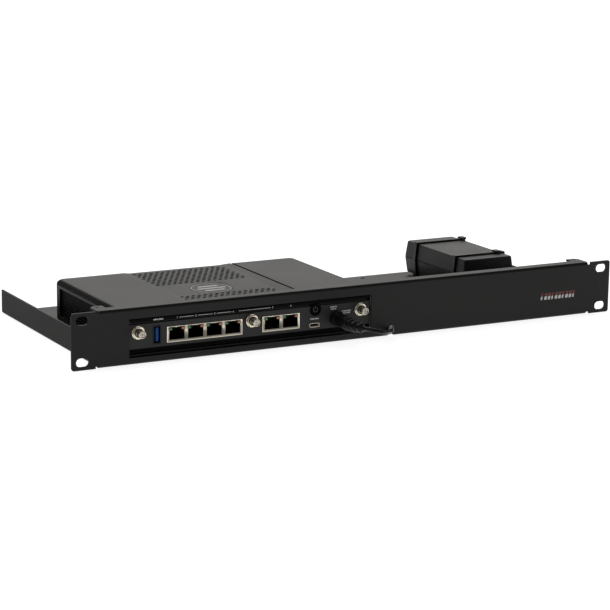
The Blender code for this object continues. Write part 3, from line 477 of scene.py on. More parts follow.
def repaint(thing: Thing, rule: Callable[[bpy.types.MeshPolygon], bool]) -> Thing:
    """Give an object's second finish to some of its faces, and the first to the rest.

    Args:
        thing: The object.
        rule: Tells whether a face has the second finish.

    Returns:
        The same object.
    """
    for face in thing.data.polygons:
        face.material_index = int(rule(face))
    return thing


def mount(thing: Thing, slot: str, *nodes: str, body: Body = Body.ROOT) -> Thing:
    """Ride a finished piece on its body and hide the CAD nodes that it stands for.

    Args:
        thing: The piece.
        slot: The record's material slot; not used.
        nodes: CAD nodes that the piece replaces.
        body: The body it moves with.

    Returns:
        The piece.
    """
    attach(thing, body.value)
    if nodes:
        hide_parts(*nodes)
    LOG.info("%s rides on %s", thing.name, body.value)
    return thing


def dress(node: str, name: str, finish: Finish, slot: str, width: float, segments: int = 2,
          body: Body = Body.ROOT) -> Thing:
    """Stand a copy with rounded edges and its own finish in a CAD node's place.

    Args:
        node: The CAD node.
        name: The new piece's name.
        finish: Its finish.
        slot: The record's material slot.
        width: Width of the edge rounding.
        segments: Faces across each edge.
        body: The body it moves with.

    Returns:
        The new piece.
    """
    thing = soften(merged_copy(node, name), width, segments)
    return mount(paint(thing, finish), slot, node, body=body)


def loft(bm: BMesh, rings: list[list[Vector]], closed: bool = False) -> None:
    """Join rings of points into a body with end caps, or into a closed loop without them.

    Args:
        bm: Where the faces go.
        rings: Rings with the same number of points each.
        closed: Join the last ring to the first.
    """
    loops = [[bm.verts.new(point) for point in ring] for ring in rings]
    faces = [] if closed else [bm.faces.new(loops[0]), bm.faces.new(loops[-1])]
    pairs = list(zip(loops, loops[1:]))
    if closed:
        pairs.append((loops[-1], loops[0]))
    count = len(loops[0])
    for here, there in pairs:
        for index in range(count):
            after = (index + 1) % count
            faces.append(bm.faces.new((here[index], here[after], there[after], there[index])))
    bmesh.ops.recalc_face_normals(bm, faces=faces)


def slab(bm: BMesh, outline: list[Point2], near: float, far: float) -> None:
    """Extrude an outline of (X, Z) points between two depths behind the panel's face."""
    loft(bm, [[at(x, depth, z) for x, z in outline] for depth in (near, far)])


def oblong(centre: Point2, size: Point2) -> list[Point2]:
    """Return a rectangle's corners.

    Args:
        centre: Its middle.
        size: Its width and height.

    Returns:
        The four corners in order.
    """
    (x, z), (wide, tall) = centre, size
    return [(x - wide / 2, z - tall / 2), (x + wide / 2, z - tall / 2),
            (x + wide / 2, z + tall / 2), (x - wide / 2, z + tall / 2)]


def arc(centre: Point2, radius: float, start: float, end: float, steps: int) -> list[Point2]:
    """Return points on an arc.

    Args:
        centre: Its middle.
        radius: Its radius.
        start: First angle in degrees.
        end: Last angle in degrees.
        steps: Number of steps between them.

    Returns:
        The points in order.
    """
    points = []
    for step in range(steps + 1):
        angle = math.radians(start + (end - start) * step / steps)
        points.append((centre[0] + radius * math.cos(angle), centre[1] + radius * math.sin(angle)))
    return points


def turned(name: str, centre: Vector, profile: list[Point2], sides: int, axis: str = "Y") -> Thing:
    """Turn a closed profile of (radius, along) points about an axis.

    Args:
        name: The object's name.
        centre: Where along is 0 on the axis.
        profile: The closed profile.
        sides: Number of steps round the axis.
        axis: "Y" or "Z".

    Returns:
        The new object.
    """
    bm = bmesh.new()
    rings = []
    for step in range(sides):
        angle = math.tau * step / sides
        ring = []
        for radius, along in profile:
            u, v = radius * math.cos(angle), radius * math.sin(angle)
            ring.append(centre + Vector((u, along, v) if axis == "Y" else (u, v, along)))
        rings.append(ring)
    loft(bm, rings, closed=True)
    bmesh.ops.remove_doubles(bm, verts=bm.verts, dist=1e-7)
    bmesh.ops.recalc_face_normals(bm, faces=bm.faces)
    return mesh_object(name, bm)


def ease(share: float) -> float:
    """Return a share from 0 to 1 with a soft start and end."""
    return share * share * (3.0 - 2.0 * share)


def curve_route(points: list[Vector], step: float) -> list[Vector]:
    """Return points spaced along a Catmull-Rom curve through a route.

    Args:
        points: The route's own points.
        step: Rough distance between the returned points.

    Returns:
        Points on the smooth curve.
    """
    knots = [2 * points[0] - points[1], *points, 2 * points[-1] - points[-2]]
    result = [points[0].copy()]
    for before, start, end, after in zip(knots, knots[1:], knots[2:], knots[3:]):
        pieces = max(1, round((end - start).length / step))
        for piece in range(1, pieces + 1):
            t = piece / pieces
            result.append(0.5 * (2 * start + (end - before) * t
                                 + (2 * before - 5 * start + 4 * end - after) * t ** 2
                                 + (3 * start - before - 3 * end + after) * t ** 3))
    return result


# --- Geometry recipes --------------------------------------------------------------------------------
class Recipe:
    """A geometry node tree with named inputs, which is run once and leaves a plain mesh."""

    def __init__(self, name: str, sockets: dict[str, str]) -> None:
        """Make the tree with its inputs.

        Args:
            name: The tree's name.
            sockets: Socket types by input name.
        """
        self.group = bpy.data.node_groups.new(name, "GeometryNodeTree")
        face = self.group.interface
        face.new_socket("Geometry", in_out="INPUT", socket_type="NodeSocketGeometry")
        self.identifiers = {}
        for label, kind in {**sockets, "Material": "NodeSocketMaterial"}.items():
            self.identifiers[label] = face.new_socket(label, in_out="INPUT", socket_type=kind).identifier
        face.new_socket("Geometry", in_out="OUTPUT", socket_type="NodeSocketGeometry")
        self.tree = Tree(self.group)
        self.inputs = self.tree.add("NodeGroupInput").outputs

    def close(self, geometry: Socket) -> None:
        """End the tree in Realize Instances and Set Material.

        Args:
            geometry: The finished geometry.
        """
        real = self.tree.add("GeometryNodeRealizeInstances", {"Geometry": geometry}).outputs[0]
        dressed = self.tree.add("GeometryNodeSetMaterial", {
            "Geometry": real, "Material": self.inputs["Material"]})
        self.tree.add("NodeGroupOutput", {0: dressed.outputs[0]})

    def run(self, thing: Thing, finish: Finish, **values: object) -> Thing:
        """Run the tree on an object.

        Args:
            thing: The object whose mesh goes in.
            finish: The finish of the result.
            values: Input values by name, with _ for a space.

        Returns:
            The object with its new mesh.
        """
        modifier = thing.modifiers.new(self.group.name, "NODES")
        modifier.node_group = self.group
        modifier[self.identifiers["Material"]] = finish.material()
        for label, value in values.items():
            modifier[self.identifiers[label.replace("_", " ")]] = value
        return settle(thing)


def perforation_recipe() -> Recipe:
    """Build the tree that cuts a staggered field of round holes through a wall.

    Returns:
        The recipe; its cutters stand on Z at Origin and step along X and Y.
    """
    recipe = Recipe("perforate", {
        "Origin": "NodeSocketVector", "Pitch X": "NodeSocketFloat", "Pitch Y": "NodeSocketFloat",
        "Columns": "NodeSocketInt", "Rows": "NodeSocketInt", "Radius": "NodeSocketFloat",
        "Depth": "NodeSocketFloat"})
    tree, given = recipe.tree, recipe.inputs
    total = tree.maths("MULTIPLY", given["Columns"], given["Rows"])
    index = tree.add("GeometryNodeInputIndex").outputs[0]
    column = tree.maths("MODULO", index, given["Columns"])
    row = tree.maths("FLOOR", tree.maths("DIVIDE", index, given["Columns"]))
    stagger = tree.maths("MULTIPLY", tree.maths("MODULO", row, 2.0), 0.5)
    across = tree.maths("MULTIPLY", tree.maths("ADD", column, stagger), given["Pitch X"])
    back = tree.maths("MULTIPLY", row, given["Pitch Y"])
    offset = tree.add("ShaderNodeCombineXYZ", {"X": across, "Y": back}).outputs[0]
    place = tree.add("ShaderNodeVectorMath", {0: given["Origin"], 1: offset}, operation="ADD").outputs[0]
    points = tree.add("GeometryNodePoints", {"Count": total, "Position": place}).outputs[0]
    drill = tree.add("GeometryNodeMeshCylinder", {
        "Vertices": 12, "Radius": given["Radius"], "Depth": given["Depth"]}).outputs["Mesh"]
    drills = tree.add("GeometryNodeInstanceOnPoints", {"Points": points, "Instance": drill}).outputs[0]
    solid = tree.add("GeometryNodeRealizeInstances", {"Geometry": drills}).outputs[0]
    cut = tree.add("GeometryNodeMeshBoolean", operation="DIFFERENCE", solver="EXACT")
    tree.tree.links.new(given["Geometry"], cut.inputs["Mesh 1"])
    tree.tree.links.new(solid, cut.inputs["Mesh 2"])
    recipe.close(cut.outputs["Mesh"])
    return recipe


def row_recipe() -> Recipe:
    """Build the tree that repeats the incoming shape along a straight line.

    Returns:
        The recipe.
    """
    recipe = Recipe("repeat_in_row", {"Count": "NodeSocketInt", "Step": "NodeSocketVector"})
    tree, given = recipe.tree, recipe.inputs
    line = tree.add("GeometryNodeMeshLine", {"Count": given["Count"], "Offset": given["Step"]},
                    mode="OFFSET")
    copies = tree.add("GeometryNodeInstanceOnPoints", {
        "Points": line.outputs[0], "Instance": given["Geometry"]})
    recipe.close(copies.outputs[0])
    return recipe


def thread_recipe() -> Recipe:
    """Build the tree that winds a triangular ridge into a screw thread along Y.

    Returns:
        The recipe; the incoming geometry is joined with the thread.
    """
    recipe = Recipe("screw_thread", {
        "Centre": "NodeSocketVector", "Radius": "NodeSocketFloat", "Length": "NodeSocketFloat",
        "Turns": "NodeSocketFloat", "Ridge": "NodeSocketFloat"})
    tree, given = recipe.tree, recipe.inputs
    spiral = tree.add("GeometryNodeCurveSpiral", {
        "Resolution": 24, "Rotations": given["Turns"], "Start Radius": given["Radius"],
        "End Radius": given["Radius"], "Height": given["Length"]}).outputs[0]
    turn = tree.add("GeometryNodeTransform", {
        "Geometry": spiral, "Translation": given["Centre"],
        "Rotation": (-UPRIGHT, 0.0, 0.0)}).outputs[0]
    ridge = tree.add("GeometryNodeCurvePrimitiveCircle", {
        "Resolution": 4, "Radius": given["Ridge"]}).outputs[0]
    swept = tree.add("GeometryNodeCurveToMesh", {
        "Curve": turn, "Profile Curve": ridge, "Fill Caps": True}).outputs[0]
    both = tree.add("GeometryNodeJoinGeometry")
    tree.tree.links.new(given["Geometry"], both.inputs[0])
    tree.tree.links.new(swept, both.inputs[0])
    recipe.close(both.outputs[0])
    return recipe


@dataclass(frozen=True)
class Recipes:
    """The geometry trees that the sub-assemblies share."""

    perforate: Recipe
    row: Recipe
    thread: Recipe


# --- Printed marks -----------------------------------------------------------------------------------
@dataclass(frozen=True)
class Print:
    """Screen-printed marks on a face that looks to -Y: numerals, rules and plain bars.

    Attributes:
        depth: Depth of the printed face.
        thickness: Thickness of the ink.
    """

    depth: float
    thickness: float = 0.00004

    def mark(self, bm: BMesh, outline: list[Point2]) -> None:
        """Lay ink in an outline."""
        slab(bm, outline, self.depth - self.thickness, self.depth)

    def bars(self, bm: BMesh, centre: Point2, width: float, height: float, count: int) -> None:
        """Draw a row of plain bars of uneven width.

        Args:
            bm: Where the bars go.
            centre: Middle of the row.
            width: Width of the whole row.
            height: Height of the bars.
            count: Number of bars.
        """
        pitch = width / count
        for index in range(count):
            share = 0.55 + 0.125 * (index * 5 % 3)     # three widths in turn
            x = centre[0] - width / 2 + pitch * (index + 0.5)
            self.mark(bm, oblong((x, centre[1]), (pitch * share, height)))

    def numeral(self, bm: BMesh, text: str, centre: Point2, height: float) -> None:
        """Draw a number.

        Args:
            bm: Where its faces go.
            text: The digits.
            centre: Middle of the number.
            height: Height of the digits.
        """
        font = bpy.data.curves.new("numeral", "FONT")
        font.body = text
        font.size = height / DIGIT_SHARE
        font.align_x = "CENTER"
        font.extrude = self.thickness / 2
        helper = make_object("numeral", font)
        shown = helper.evaluated_get(bpy.context.evaluated_depsgraph_get())
        mesh = bpy.data.meshes.new_from_object(shown)
        place = at(centre[0], self.depth - self.thickness / 2, centre[1] - height / 2)
        mesh.transform(Matrix.Translation(place) @ Matrix.Rotation(UPRIGHT, 4, "X"))
        bm.from_mesh(mesh)
        bpy.data.objects.remove(helper)
        bpy.data.meshes.remove(mesh)


# --- Studio ------------------------------------------------------------------------------------------
@dataclass(frozen=True)
class SoftBox:
    """A rectangular light that faces the object.

    Attributes:
        name: The light's name.
        place: Its middle.
        size: Its width and height.
        power: Its power in watts.
        colour: Its colour.
    """

    name: str
    place: Vector
    size: Point2
    power: float
    colour: Colour = (1.0, 0.98, 0.955)

    def hang(self) -> None:
        """Add the light."""
        light = bpy.data.lights.new(self.name, "AREA")
        light.shape = "RECTANGLE"
        light.size, light.size_y = self.size
        light.color = self.colour
        light.energy = self.power
        lamp = make_object(self.name, light)
        lamp.location = self.place
        lamp.rotation_euler = (-self.place).to_track_quat("-Z", "Y").to_euler()


@dataclass(frozen=True)
class Studio:
    """The camera, the pale floor and the soft lights.

    Attributes:
        place: Where the camera stands.
        forward: Where it looks.
        right: The direction to the right of its view.
        lens: Focal length in millimetres on a 36 mm sensor.
        surround: Brightness of the room.
        boxes: The soft boxes, one above and one behind.
        floor_settings: The floor's shader values by socket.
    """

    place: Vector = Vector((-0.84478, -1.59922, 0.41250))
    forward: Vector = Vector((0.45848, 0.86147, -0.21830))
    right: Vector = Vector((0.88395, -0.46742, 0.01194))
    lens: float = 132.31
    surround: float = 0.28
    boxes: tuple[SoftBox, ...] = (
        SoftBox("overhead_light", Vector((0.0, 2.0, 3.0)), (6.0, 4.6), 95.0),
        SoftBox("back_light", Vector((1.7, 3.3, 1.3)), (4.5, 2.2), 21.0))
    floor_settings: tuple[tuple[str, object], ...] = (
        ("Base Color", (0.50, 0.50, 0.50, 1.0)), ("Emission Color", (1.0, 1.0, 1.0, 1.0)),
        ("Emission Strength", 0.85), ("Roughness", 0.9), ("Specular IOR Level", 0.1))

    def build(self) -> None:
        """Set up the whole studio."""
        self.camera()
        self.floor()
        self.room()
        for box in self.boxes:
            box.hang()
        bpy.context.scene.view_settings.view_transform = "Standard"

    def camera(self) -> None:
        """Add the camera and make it the scene's."""
        data = bpy.data.cameras.new("camera")
        data.lens = self.lens
        data.clip_end = 50.0
        camera = make_object("camera", data)
        right = (self.right - self.forward * self.right.dot(self.forward)).normalized()
        up = right.cross(self.forward)
        turn = Matrix((right, up, -self.forward)).transposed().to_4x4()
        camera.matrix_world = Matrix.Translation(self.place) @ turn
        bpy.context.scene.camera = camera

    def floor(self) -> None:
        """Lay the pale floor."""
        bm = bmesh.new()
        bmesh.ops.create_grid(bm, x_segments=1, y_segments=1, size=30.0)
        floor = mesh_object("studio_floor", bm)
        floor.location.z = -0.0002
        material = bpy.data.materials.new("studio_floor")
        material.use_nodes = True
        tree = Tree(material.node_tree)
        tree.fill(tree.tree.nodes["Principled BSDF"], dict(self.floor_settings))
        floor.data.materials.append(material)

    def room(self) -> None:
        """Light the room evenly."""
        world = bpy.data.worlds.new("studio")
        world.use_nodes = True
        tree = Tree(world.node_tree)
        tree.fill(tree.tree.nodes["Background"], {"Color": (1.0, 1.0, 1.0, 1.0), "Strength": self.surround})
        bpy.context.scene.world = world


# --- Rack tray ---------------------------------------------------------------------------------------
@dataclass(frozen=True)
class RackTray:
    """The folded steel tray with its front panel, and the straps round the adapter.

    Attributes:
        panel_mark: Middle of the printed mark on the panel.
        mark_size: Width and height of the mark.
        mark_bars: Number of bars in it.
        mark_slant: How far a bar leans over the mark's height.
        mark_widths: Narrow and broad bar, as shares of the mark's width.
        mark_depth: Depth of the back of its ink, a hair in front of the panel.
        tooth_start: X and Z of the first tooth on a cable tie's strap.
        tooth_pitch: Distance between the teeth.
        tooth_size: Half the width and the height of a tooth.
        tooth_count: Number of teeth.
        edge: Rounding of the sheet's cut edges.
    """

    recipes: Recipes
    panel_mark: Point2 = (0.1910, 0.0185)
    mark_size: Point2 = (0.0346, 0.0056)
    mark_bars: int = 10
    mark_slant: float = 0.0010
    mark_widths: Point2 = (0.045, 0.068)
    mark_depth: float = -0.000002
    tooth_start: Point2 = (0.1640, 0.0334)
    tooth_pitch: float = 0.0013
    tooth_size: Point2 = (0.0015, 0.00018)
    tooth_count: int = 27
    edge: float = 0.00022

    def build(self) -> None:
        """Build the tray's pieces."""
        sheet = soften(merged_copy("rack_tray", "tray_sheet"), self.edge)
        # The side walls and the bend above the panel take the less glossy copy: painted shade and a painted
        # dark reflection.
        repaint(paint(sheet, STEEL_SHEET, SHEET_PAINTED_SHADE), self.is_flatter)
        mount(sheet, "powder_coated_steel", "rack_tray")
        self.panel_print()
        for node in ("front_cable_tie", "rear_cable_tie"):
            self.tie(node)

    def is_flatter(self, face: bpy.types.MeshPolygon) -> bool:
        """Tell whether a face of the sheet takes the less glossy copy of the coat, which paints shade.

        Args:
            face: The face.

        Returns:
            True on the side walls and on the rounded bend above the panel.
        """
        side_wall = abs(face.normal.x) > 0.7
        bend = face.normal.z > 0.25 and face.normal.y < -0.25
        return side_wall or bend

    def panel_print(self) -> None:
        """Print a plain barred mark in two tones on the panel."""
        (x, z), (wide, tall) = self.panel_mark, self.mark_size
        narrow, broad = self.mark_widths
        ink = Print(self.mark_depth)
        for name, finish, low in (("panel_mark_lower", INK, -0.5), ("panel_mark_upper", INK_RED, 0.0)):
            high = low + 0.5
            bm = bmesh.new()
            for index in range(self.mark_bars):
                left = x + wide * (index / self.mark_bars - 0.5)
                right = left + wide * (broad if index % 3 else narrow)
                foot, head = z + tall * low, z + tall * high
                start, end = self.mark_slant * low, self.mark_slant * high
                ink.mark(bm, [(left + start, foot), (right + start, foot),
                              (right + end, head), (left + end, head)])
            mount(paint(mesh_object(name, bm), finish), "powder_coated_steel")

    def tie(self, node: str) -> None:
        """Dress a cable tie and set teeth along the top of its strap.

        Args:
            node: The tie's CAD node.
        """
        middle = middle_of(node).y - FRONT
        (x, z), pitch, (reach, tall) = self.tooth_start, self.tooth_pitch, self.tooth_size
        bm = bmesh.new()
        slab(bm, [(x, z), (x + pitch * 0.5, z), (x + pitch * 0.8, z + tall)], middle - reach, middle + reach)
        tooth = mesh_object(node + "_teeth", bm)
        self.recipes.row.run(tooth, NYLON, Count=self.tooth_count, Step=(pitch, 0.0, 0.0))
        mount(tooth, "nylon")
        dress(node, node + "_strap", NYLON, "nylon", 0.00025)


# --- Case --------------------------------------------------------------------------------------------
@dataclass(frozen=True)
class Case:
    """The appliance's two-part plastic case with its vents, side grilles and badge.

    Attributes:
        vent_radius: Radius of a vent hole.
        vent_pitch: Steps across and along the case.
        vent_left: Where each row of vents starts.
        vent_columns: Vents in a row.
        vent_fields: First depth and number of rows of each field.
        vent_height: Height of the middle of the wall that the vents go through.
        vent_area: Where the vents' walls lie, low and high, as X, depth and Z.
        edge: Rounding of the case's edges.
        badge: Middle of the badge as X and depth.
        badge_relief: Height of its rim and bars.
        badge_bars: Place before or behind the middle, and length, of each bar.
        badge_bar_width: Width of a bar.
        light_first: Distance from the status bar's end to the first light's middle.
        light_size: Width and height of a light.
        light_pitch: Distance between lights.
        light_count: Number of lights.
    """

    recipes: Recipes
    vent_radius: float = 0.00165
    vent_pitch: Point2 = (0.0050, 0.0045)
    vent_left: float = -0.1345
    vent_columns: int = 16
    vent_fields: tuple[tuple[float, int], ...] = ((0.0100, 7), (0.0830, 11))
    vent_height: float = 0.0385
    vent_area: tuple[Point2, Point2, Point2] = ((-0.1395, -0.0550), (0.0065, 0.1310), (0.0376, 1.0))
    edge: float = 0.0003
    badge: Point2 = (-0.100, 0.057)
    badge_relief: float = 0.0002
    badge_bars: tuple[Point2, ...] = ((-0.0077, 0.0170), (-0.0007, 0.0240), (0.0063, 0.0170))
    badge_bar_width: float = 0.0038
    light_first: float = 0.0060
    light_size: Point2 = (0.0050, 0.0018)
    light_pitch: float = 0.0080
    light_count: int = 7

    def build(self) -> None:
        """Build the case's pieces."""
        dress("bottom_case", "case_base", CASE_BLACK, "case_plastic", self.edge)
        self.lid()
        for node in ("side_grille_left", "side_grille_right"):
            self.side_grille(node)
        self.front_slot()
        self.badge_marks()
        self.light_bar()
        for index in range(1, 5):
            dress(f"rubber_foot_{index}", f"foot_pad_{index}", SOFT_RUBBER, "rubber", 0.0004)
            self.screw(f"case_screw_{index}")

    def lid(self) -> None:
        """Cut the vents through the lid's sunken band."""
        lid = soften(merged_copy("top_cover", "case_lid"), self.edge)
        for depth, rows in self.vent_fields:
            self.recipes.perforate.run(
                lid, CASE_BLACK, Origin=at(self.vent_left, depth, self.vent_height),
                Pitch_X=self.vent_pitch[0], Pitch_Y=self.vent_pitch[1], Columns=self.vent_columns,
                Rows=rows, Radius=self.vent_radius, Depth=0.0050)
        # The vent walls take the near-black finish as painted shade in the holes; outside the vent band,
        # faces that look sideways (the flanks) take it too.
        paint(lid, CASE_BLACK, BLACK_AND_SHADE)
        mount(repaint(lid, self.is_dark), "case_plastic", "top_cover")

    def is_dark(self, face: bpy.types.MeshPolygon) -> bool:
        """Tell whether a face of the lid is a vent's wall or belongs to a flank.

        Args:
            face: The face.

        Returns:
            True where the lid takes the near-black finish: painted shade on the vent walls, and flanks
            darker than the top.
        """
        place = (face.center.x, face.center.y - FRONT, face.center.z)
        inside = [low < value < high for value, (low, high) in zip(place, self.vent_area)]
        if inside[0]:
            return abs(face.normal.z) < 0.3 and all(inside)
        return abs(face.normal.x) > 0.35

    def side_grille(self, node: str) -> None:
        """Lay long ribs over a side grille.

        Args:
            node: The grille's CAD node.
        """
        dress(node, node + "_web", BLACK_AND_SHADE, "dark_plastic", 0.0)
        low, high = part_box(node)
        side = -1.0 if node.endswith("left") else 1.0
        face = low.x if side < 0 else high.x
        pitch, width, proud, margin = 0.0026, 0.0011, 0.0006, 0.0014
        start, end = low.y + margin, high.y - margin
        foot, head = low.z + margin, low.z + margin + width
        sunk, rounding = -0.0002, 0.0003
        rings = []
        for out, inset in ((sunk, 0.0), (proud * 0.6, 0.0), (proud, rounding)):
            corners = ((start + inset, foot + inset), (end - inset, foot + inset),
                       (end - inset, head - inset), (start + inset, head - inset))
            rings.append([Vector((face + side * out, y, z)) for y, z in corners])
        bm = bmesh.new()
        loft(bm, rings)
        count = int((high.z - low.z - 2 * margin - width) / pitch) + 1
        rib = mesh_object(node + "_ribs", bm)
        mount(self.recipes.row.run(rib, BLACK_AND_SHADE, Count=count, Step=(0.0, 0.0, pitch)), "dark_plastic")

    def front_slot(self) -> None:
        """Close the slot below the face with a near-black plate that has one long rib, painted shade for the
        gap under the face.
        """
        low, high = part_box("front_air_grille")
        near, far = low.y - FRONT, high.y - FRONT
        middle, width, tall = middle_of("front_air_grille"), high.x - low.x, high.z - low.z
        rib, rib_end, rib_share = 0.0006, 0.003, 0.35
        bm = bmesh.new()
        slab(bm, oblong((middle.x, middle.z), (width, tall)), near + rib, far)
        rib_line = (middle.x, low.z + tall * rib_share)
        slab(bm, oblong(rib_line, (width - 2 * rib_end, rib)), near, near + rib)
        plate = soften(mesh_object("slot_shade_plate", bm), 0.00012)
        # Near-black plate: painted shade where the gap under the face lies in shadow.
        mount(paint(plate, BLACK_AND_SHADE), "dark_plastic", "front_air_grille")

    def badge_marks(self) -> None:
        """Lay a rounded badge with plain raised bars on the lid."""
        low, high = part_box("emblem_badge")
        dress("emblem_badge", "badge_disc", CASE_BLACK, "badge_plastic", 0.0002, 2)
        x, depth = self.badge
        middle = at(x, depth, high.z - 0.00005)
        radius, relief = (high.x - low.x) / 2, self.badge_relief
        profile = [(radius - 0.0012, 0.0), (radius - 0.0002, 0.0), (radius - 0.0004, relief),
                   (radius - 0.0010, relief)]
        rim = soften(turned("badge_rim", middle, profile, 96, "Z"), 0.0)
        mount(paint(rim, BADGE_LIGHT), "badge_plastic")
        bm = bmesh.new()
        for offset, length in self.badge_bars:
            corners = oblong((0.0, offset), (length, self.badge_bar_width))
            loft(bm, [[middle + Vector((u, v, height)) for u, v in corners] for height in (0.0, relief)])
        bars = mesh_object("badge_bars", bm)
        mount(paint(soften(bars, 0.00006), BADGE_LIGHT), "badge_plastic")

    def light_bar(self) -> None:
        """Fill the status bar's face with separate light windows."""
        dress("status_light_bar", "status_bar", BLACK_AND_SHADE, "dark_plastic", 0.0001)
        low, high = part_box("status_light_bar")
        depth = high.y - FRONT
        window = oblong((low.x + self.light_first, (low.z + high.z) / 2), self.light_size)
        bm = bmesh.new()
        slab(bm, window, depth - 0.0002, depth + 0.00015)
        lights = mesh_object("status_lights", bm)
        self.recipes.row.run(lights, CLEAR_PIPE, Count=self.light_count, Step=(self.light_pitch, 0.0, 0.0))
        mount(lights, "dark_plastic")

    def screw(self, node: str) -> None:
        """Turn a screw with a rounded head and a round recess seen from below.

        Args:
            node: The screw's CAD node.
        """
        low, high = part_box(node)
        middle = middle_of(node)
        middle.z = 0.0
        head = (high.x - low.x) / 2
        recess, recess_depth, shank, shoulder = 0.0011, 0.0008, 0.0014, 0.0046
        profile = [(0.0, low.z + recess_depth), (recess, low.z + recess_depth), (recess, low.z),
                   (head * 0.75, low.z), (head * 0.92, low.z + 0.0002), (head, low.z + 0.0007),
                   (head, shoulder), (shank, shoulder), (shank, high.z), (0.0, high.z)]
        thing = soften(turned(node + "_turned", middle, profile, 24, "Z"), 0.0)
        mount(paint(thing, STEEL), "steel", node)


# --- Port face ---------------------------------------------------------------------------------------
@dataclass(frozen=True)
class Jack:
    """One network socket: its insulator, contacts and lights, inside the row's plated shield.

    Attributes:
        row: The tree that repeats the contacts.
        name: The start of its pieces' names.
        x: Its middle.
        front: Depth of the shield's face.
        opening: Low and high Z of the main opening.
        width: Width of the opening.
        latch: Top of the latch notch, and half the width of its lower and its upper step.
        latch_step: Height of the lower step.
        deep: Depth of the insulator's cup behind the shield's face.
        shrink: Inside of the cup as a share of its outside.
        shoulder_top: Top of the black shoulders beside the notch.
        contact_count: Number of contacts.
        contact_pitch: Distance between contacts.
        contact_profile: Depth and height of the corners of a bent contact.
        light: Place of a light beside the middle, and its height.
        light_size: Width and height of a light.
    """

    row: Recipe
    name: str
    x: float
    front: float
    opening: Point2 = (0.0156, 0.0232)
    width: float = 0.0128
    latch: tuple[float, float, float] = (0.0253, 0.0036, 0.002232)
    latch_step: float = 0.0012
    deep: float = 0.0104
    shrink: float = 0.945
    shoulder_top: float = 0.0253
    contact_count: int = 8
    contact_pitch: float = 0.0010
    contact_profile: tuple[Point2, ...] = (
        (0.0030, 0.0159), (0.0034, 0.0157), (0.0092, 0.0196), (0.0092, 0.0200), (0.0089, 0.0200))
    light: Point2 = (0.0053, 0.0240)
    light_size: Point2 = (0.0024, 0.0018)

    def build(self) -> None:
        """Build the socket's pieces."""
        self.liner()
        self.shoulders()
        self.contacts()
        for side, hand, finish in ((-1, "left", GREEN_PIPE), (1, "right", AMBER_PIPE)):
            bm = bmesh.new()
            window = oblong((self.x + side * self.light[0], self.light[1]), self.light_size)
            slab(bm, window, self.front - 0.00026, self.front + 0.0002)
            light = soften(mesh_object(f"{self.name}_light_{hand}", bm), 0.00012)
            mount(paint(light, finish), "nickel")

    def outline(self) -> list[Point2]:
        """Return the opening's outline with its latch notch."""
        (low, high), half = self.opening, self.width / 2
        top, outer, inner = self.latch
        step = high + self.latch_step
        right = [(half, low), (half, high), (outer, high), (outer, step), (inner, step), (inner, top)]
        return [(self.x + u, z) for u, z in right] + [(self.x - u, z) for u, z in reversed(right)]

    def liner(self) -> None:
        """Line the socket with its black insulator, a cup that is open to the front."""
        outside = self.outline()
        middle = Vector((self.x, 0.0198))
        inside = [tuple(middle + (Vector(point) - middle) * self.shrink) for point in outside]
        mouth, back = self.front + 0.0002, self.front + self.deep
        sections = ((inside, back - 0.0006), (inside, mouth), (outside, mouth), (outside, back))
        bm = bmesh.new()
        loft(bm, [[at(x, depth, z) for x, z in outline] for outline, depth in sections])
        cup = mesh_object(f"{self.name}_liner", bm)
        mount(paint(soften(cup, 0.0), BLACK_AND_SHADE), "dark_plastic")

    def shoulders(self) -> None:
        """Fill the face beside the latch notch with the insulator's black shoulders."""
        low, high = self.opening[1], self.shoulder_top
        start, end = self.latch[2], self.width / 2 + 0.0002
        bm = bmesh.new()
        for side in (-1, 1):
            middle = (self.x + side * (start + end) / 2, (low + high) / 2)
            slab(bm, oblong(middle, (end - start, high - low)), self.front - 0.00014, self.front + 0.0001)
        pads = mesh_object(f"{self.name}_corners", bm)
        mount(paint(soften(pads, 0.00005), BLACK_AND_SHADE), "dark_plastic")

    def contacts(self) -> None:
        """Set the sprung contacts in the socket."""
        thick = 0.0004
        left = self.x - self.contact_pitch * (self.contact_count - 1) / 2 - thick / 2
        bm = bmesh.new()
        loft(bm, [[at(x, self.front + depth, z) for depth, z in self.contact_profile]
                  for x in (left, left + thick)])
        springs = mesh_object(f"{self.name}_contacts", bm)
        self.row.run(springs, GOLD, Count=self.contact_count, Step=(self.contact_pitch, 0.0, 0.0))
        mount(springs, "nickel")


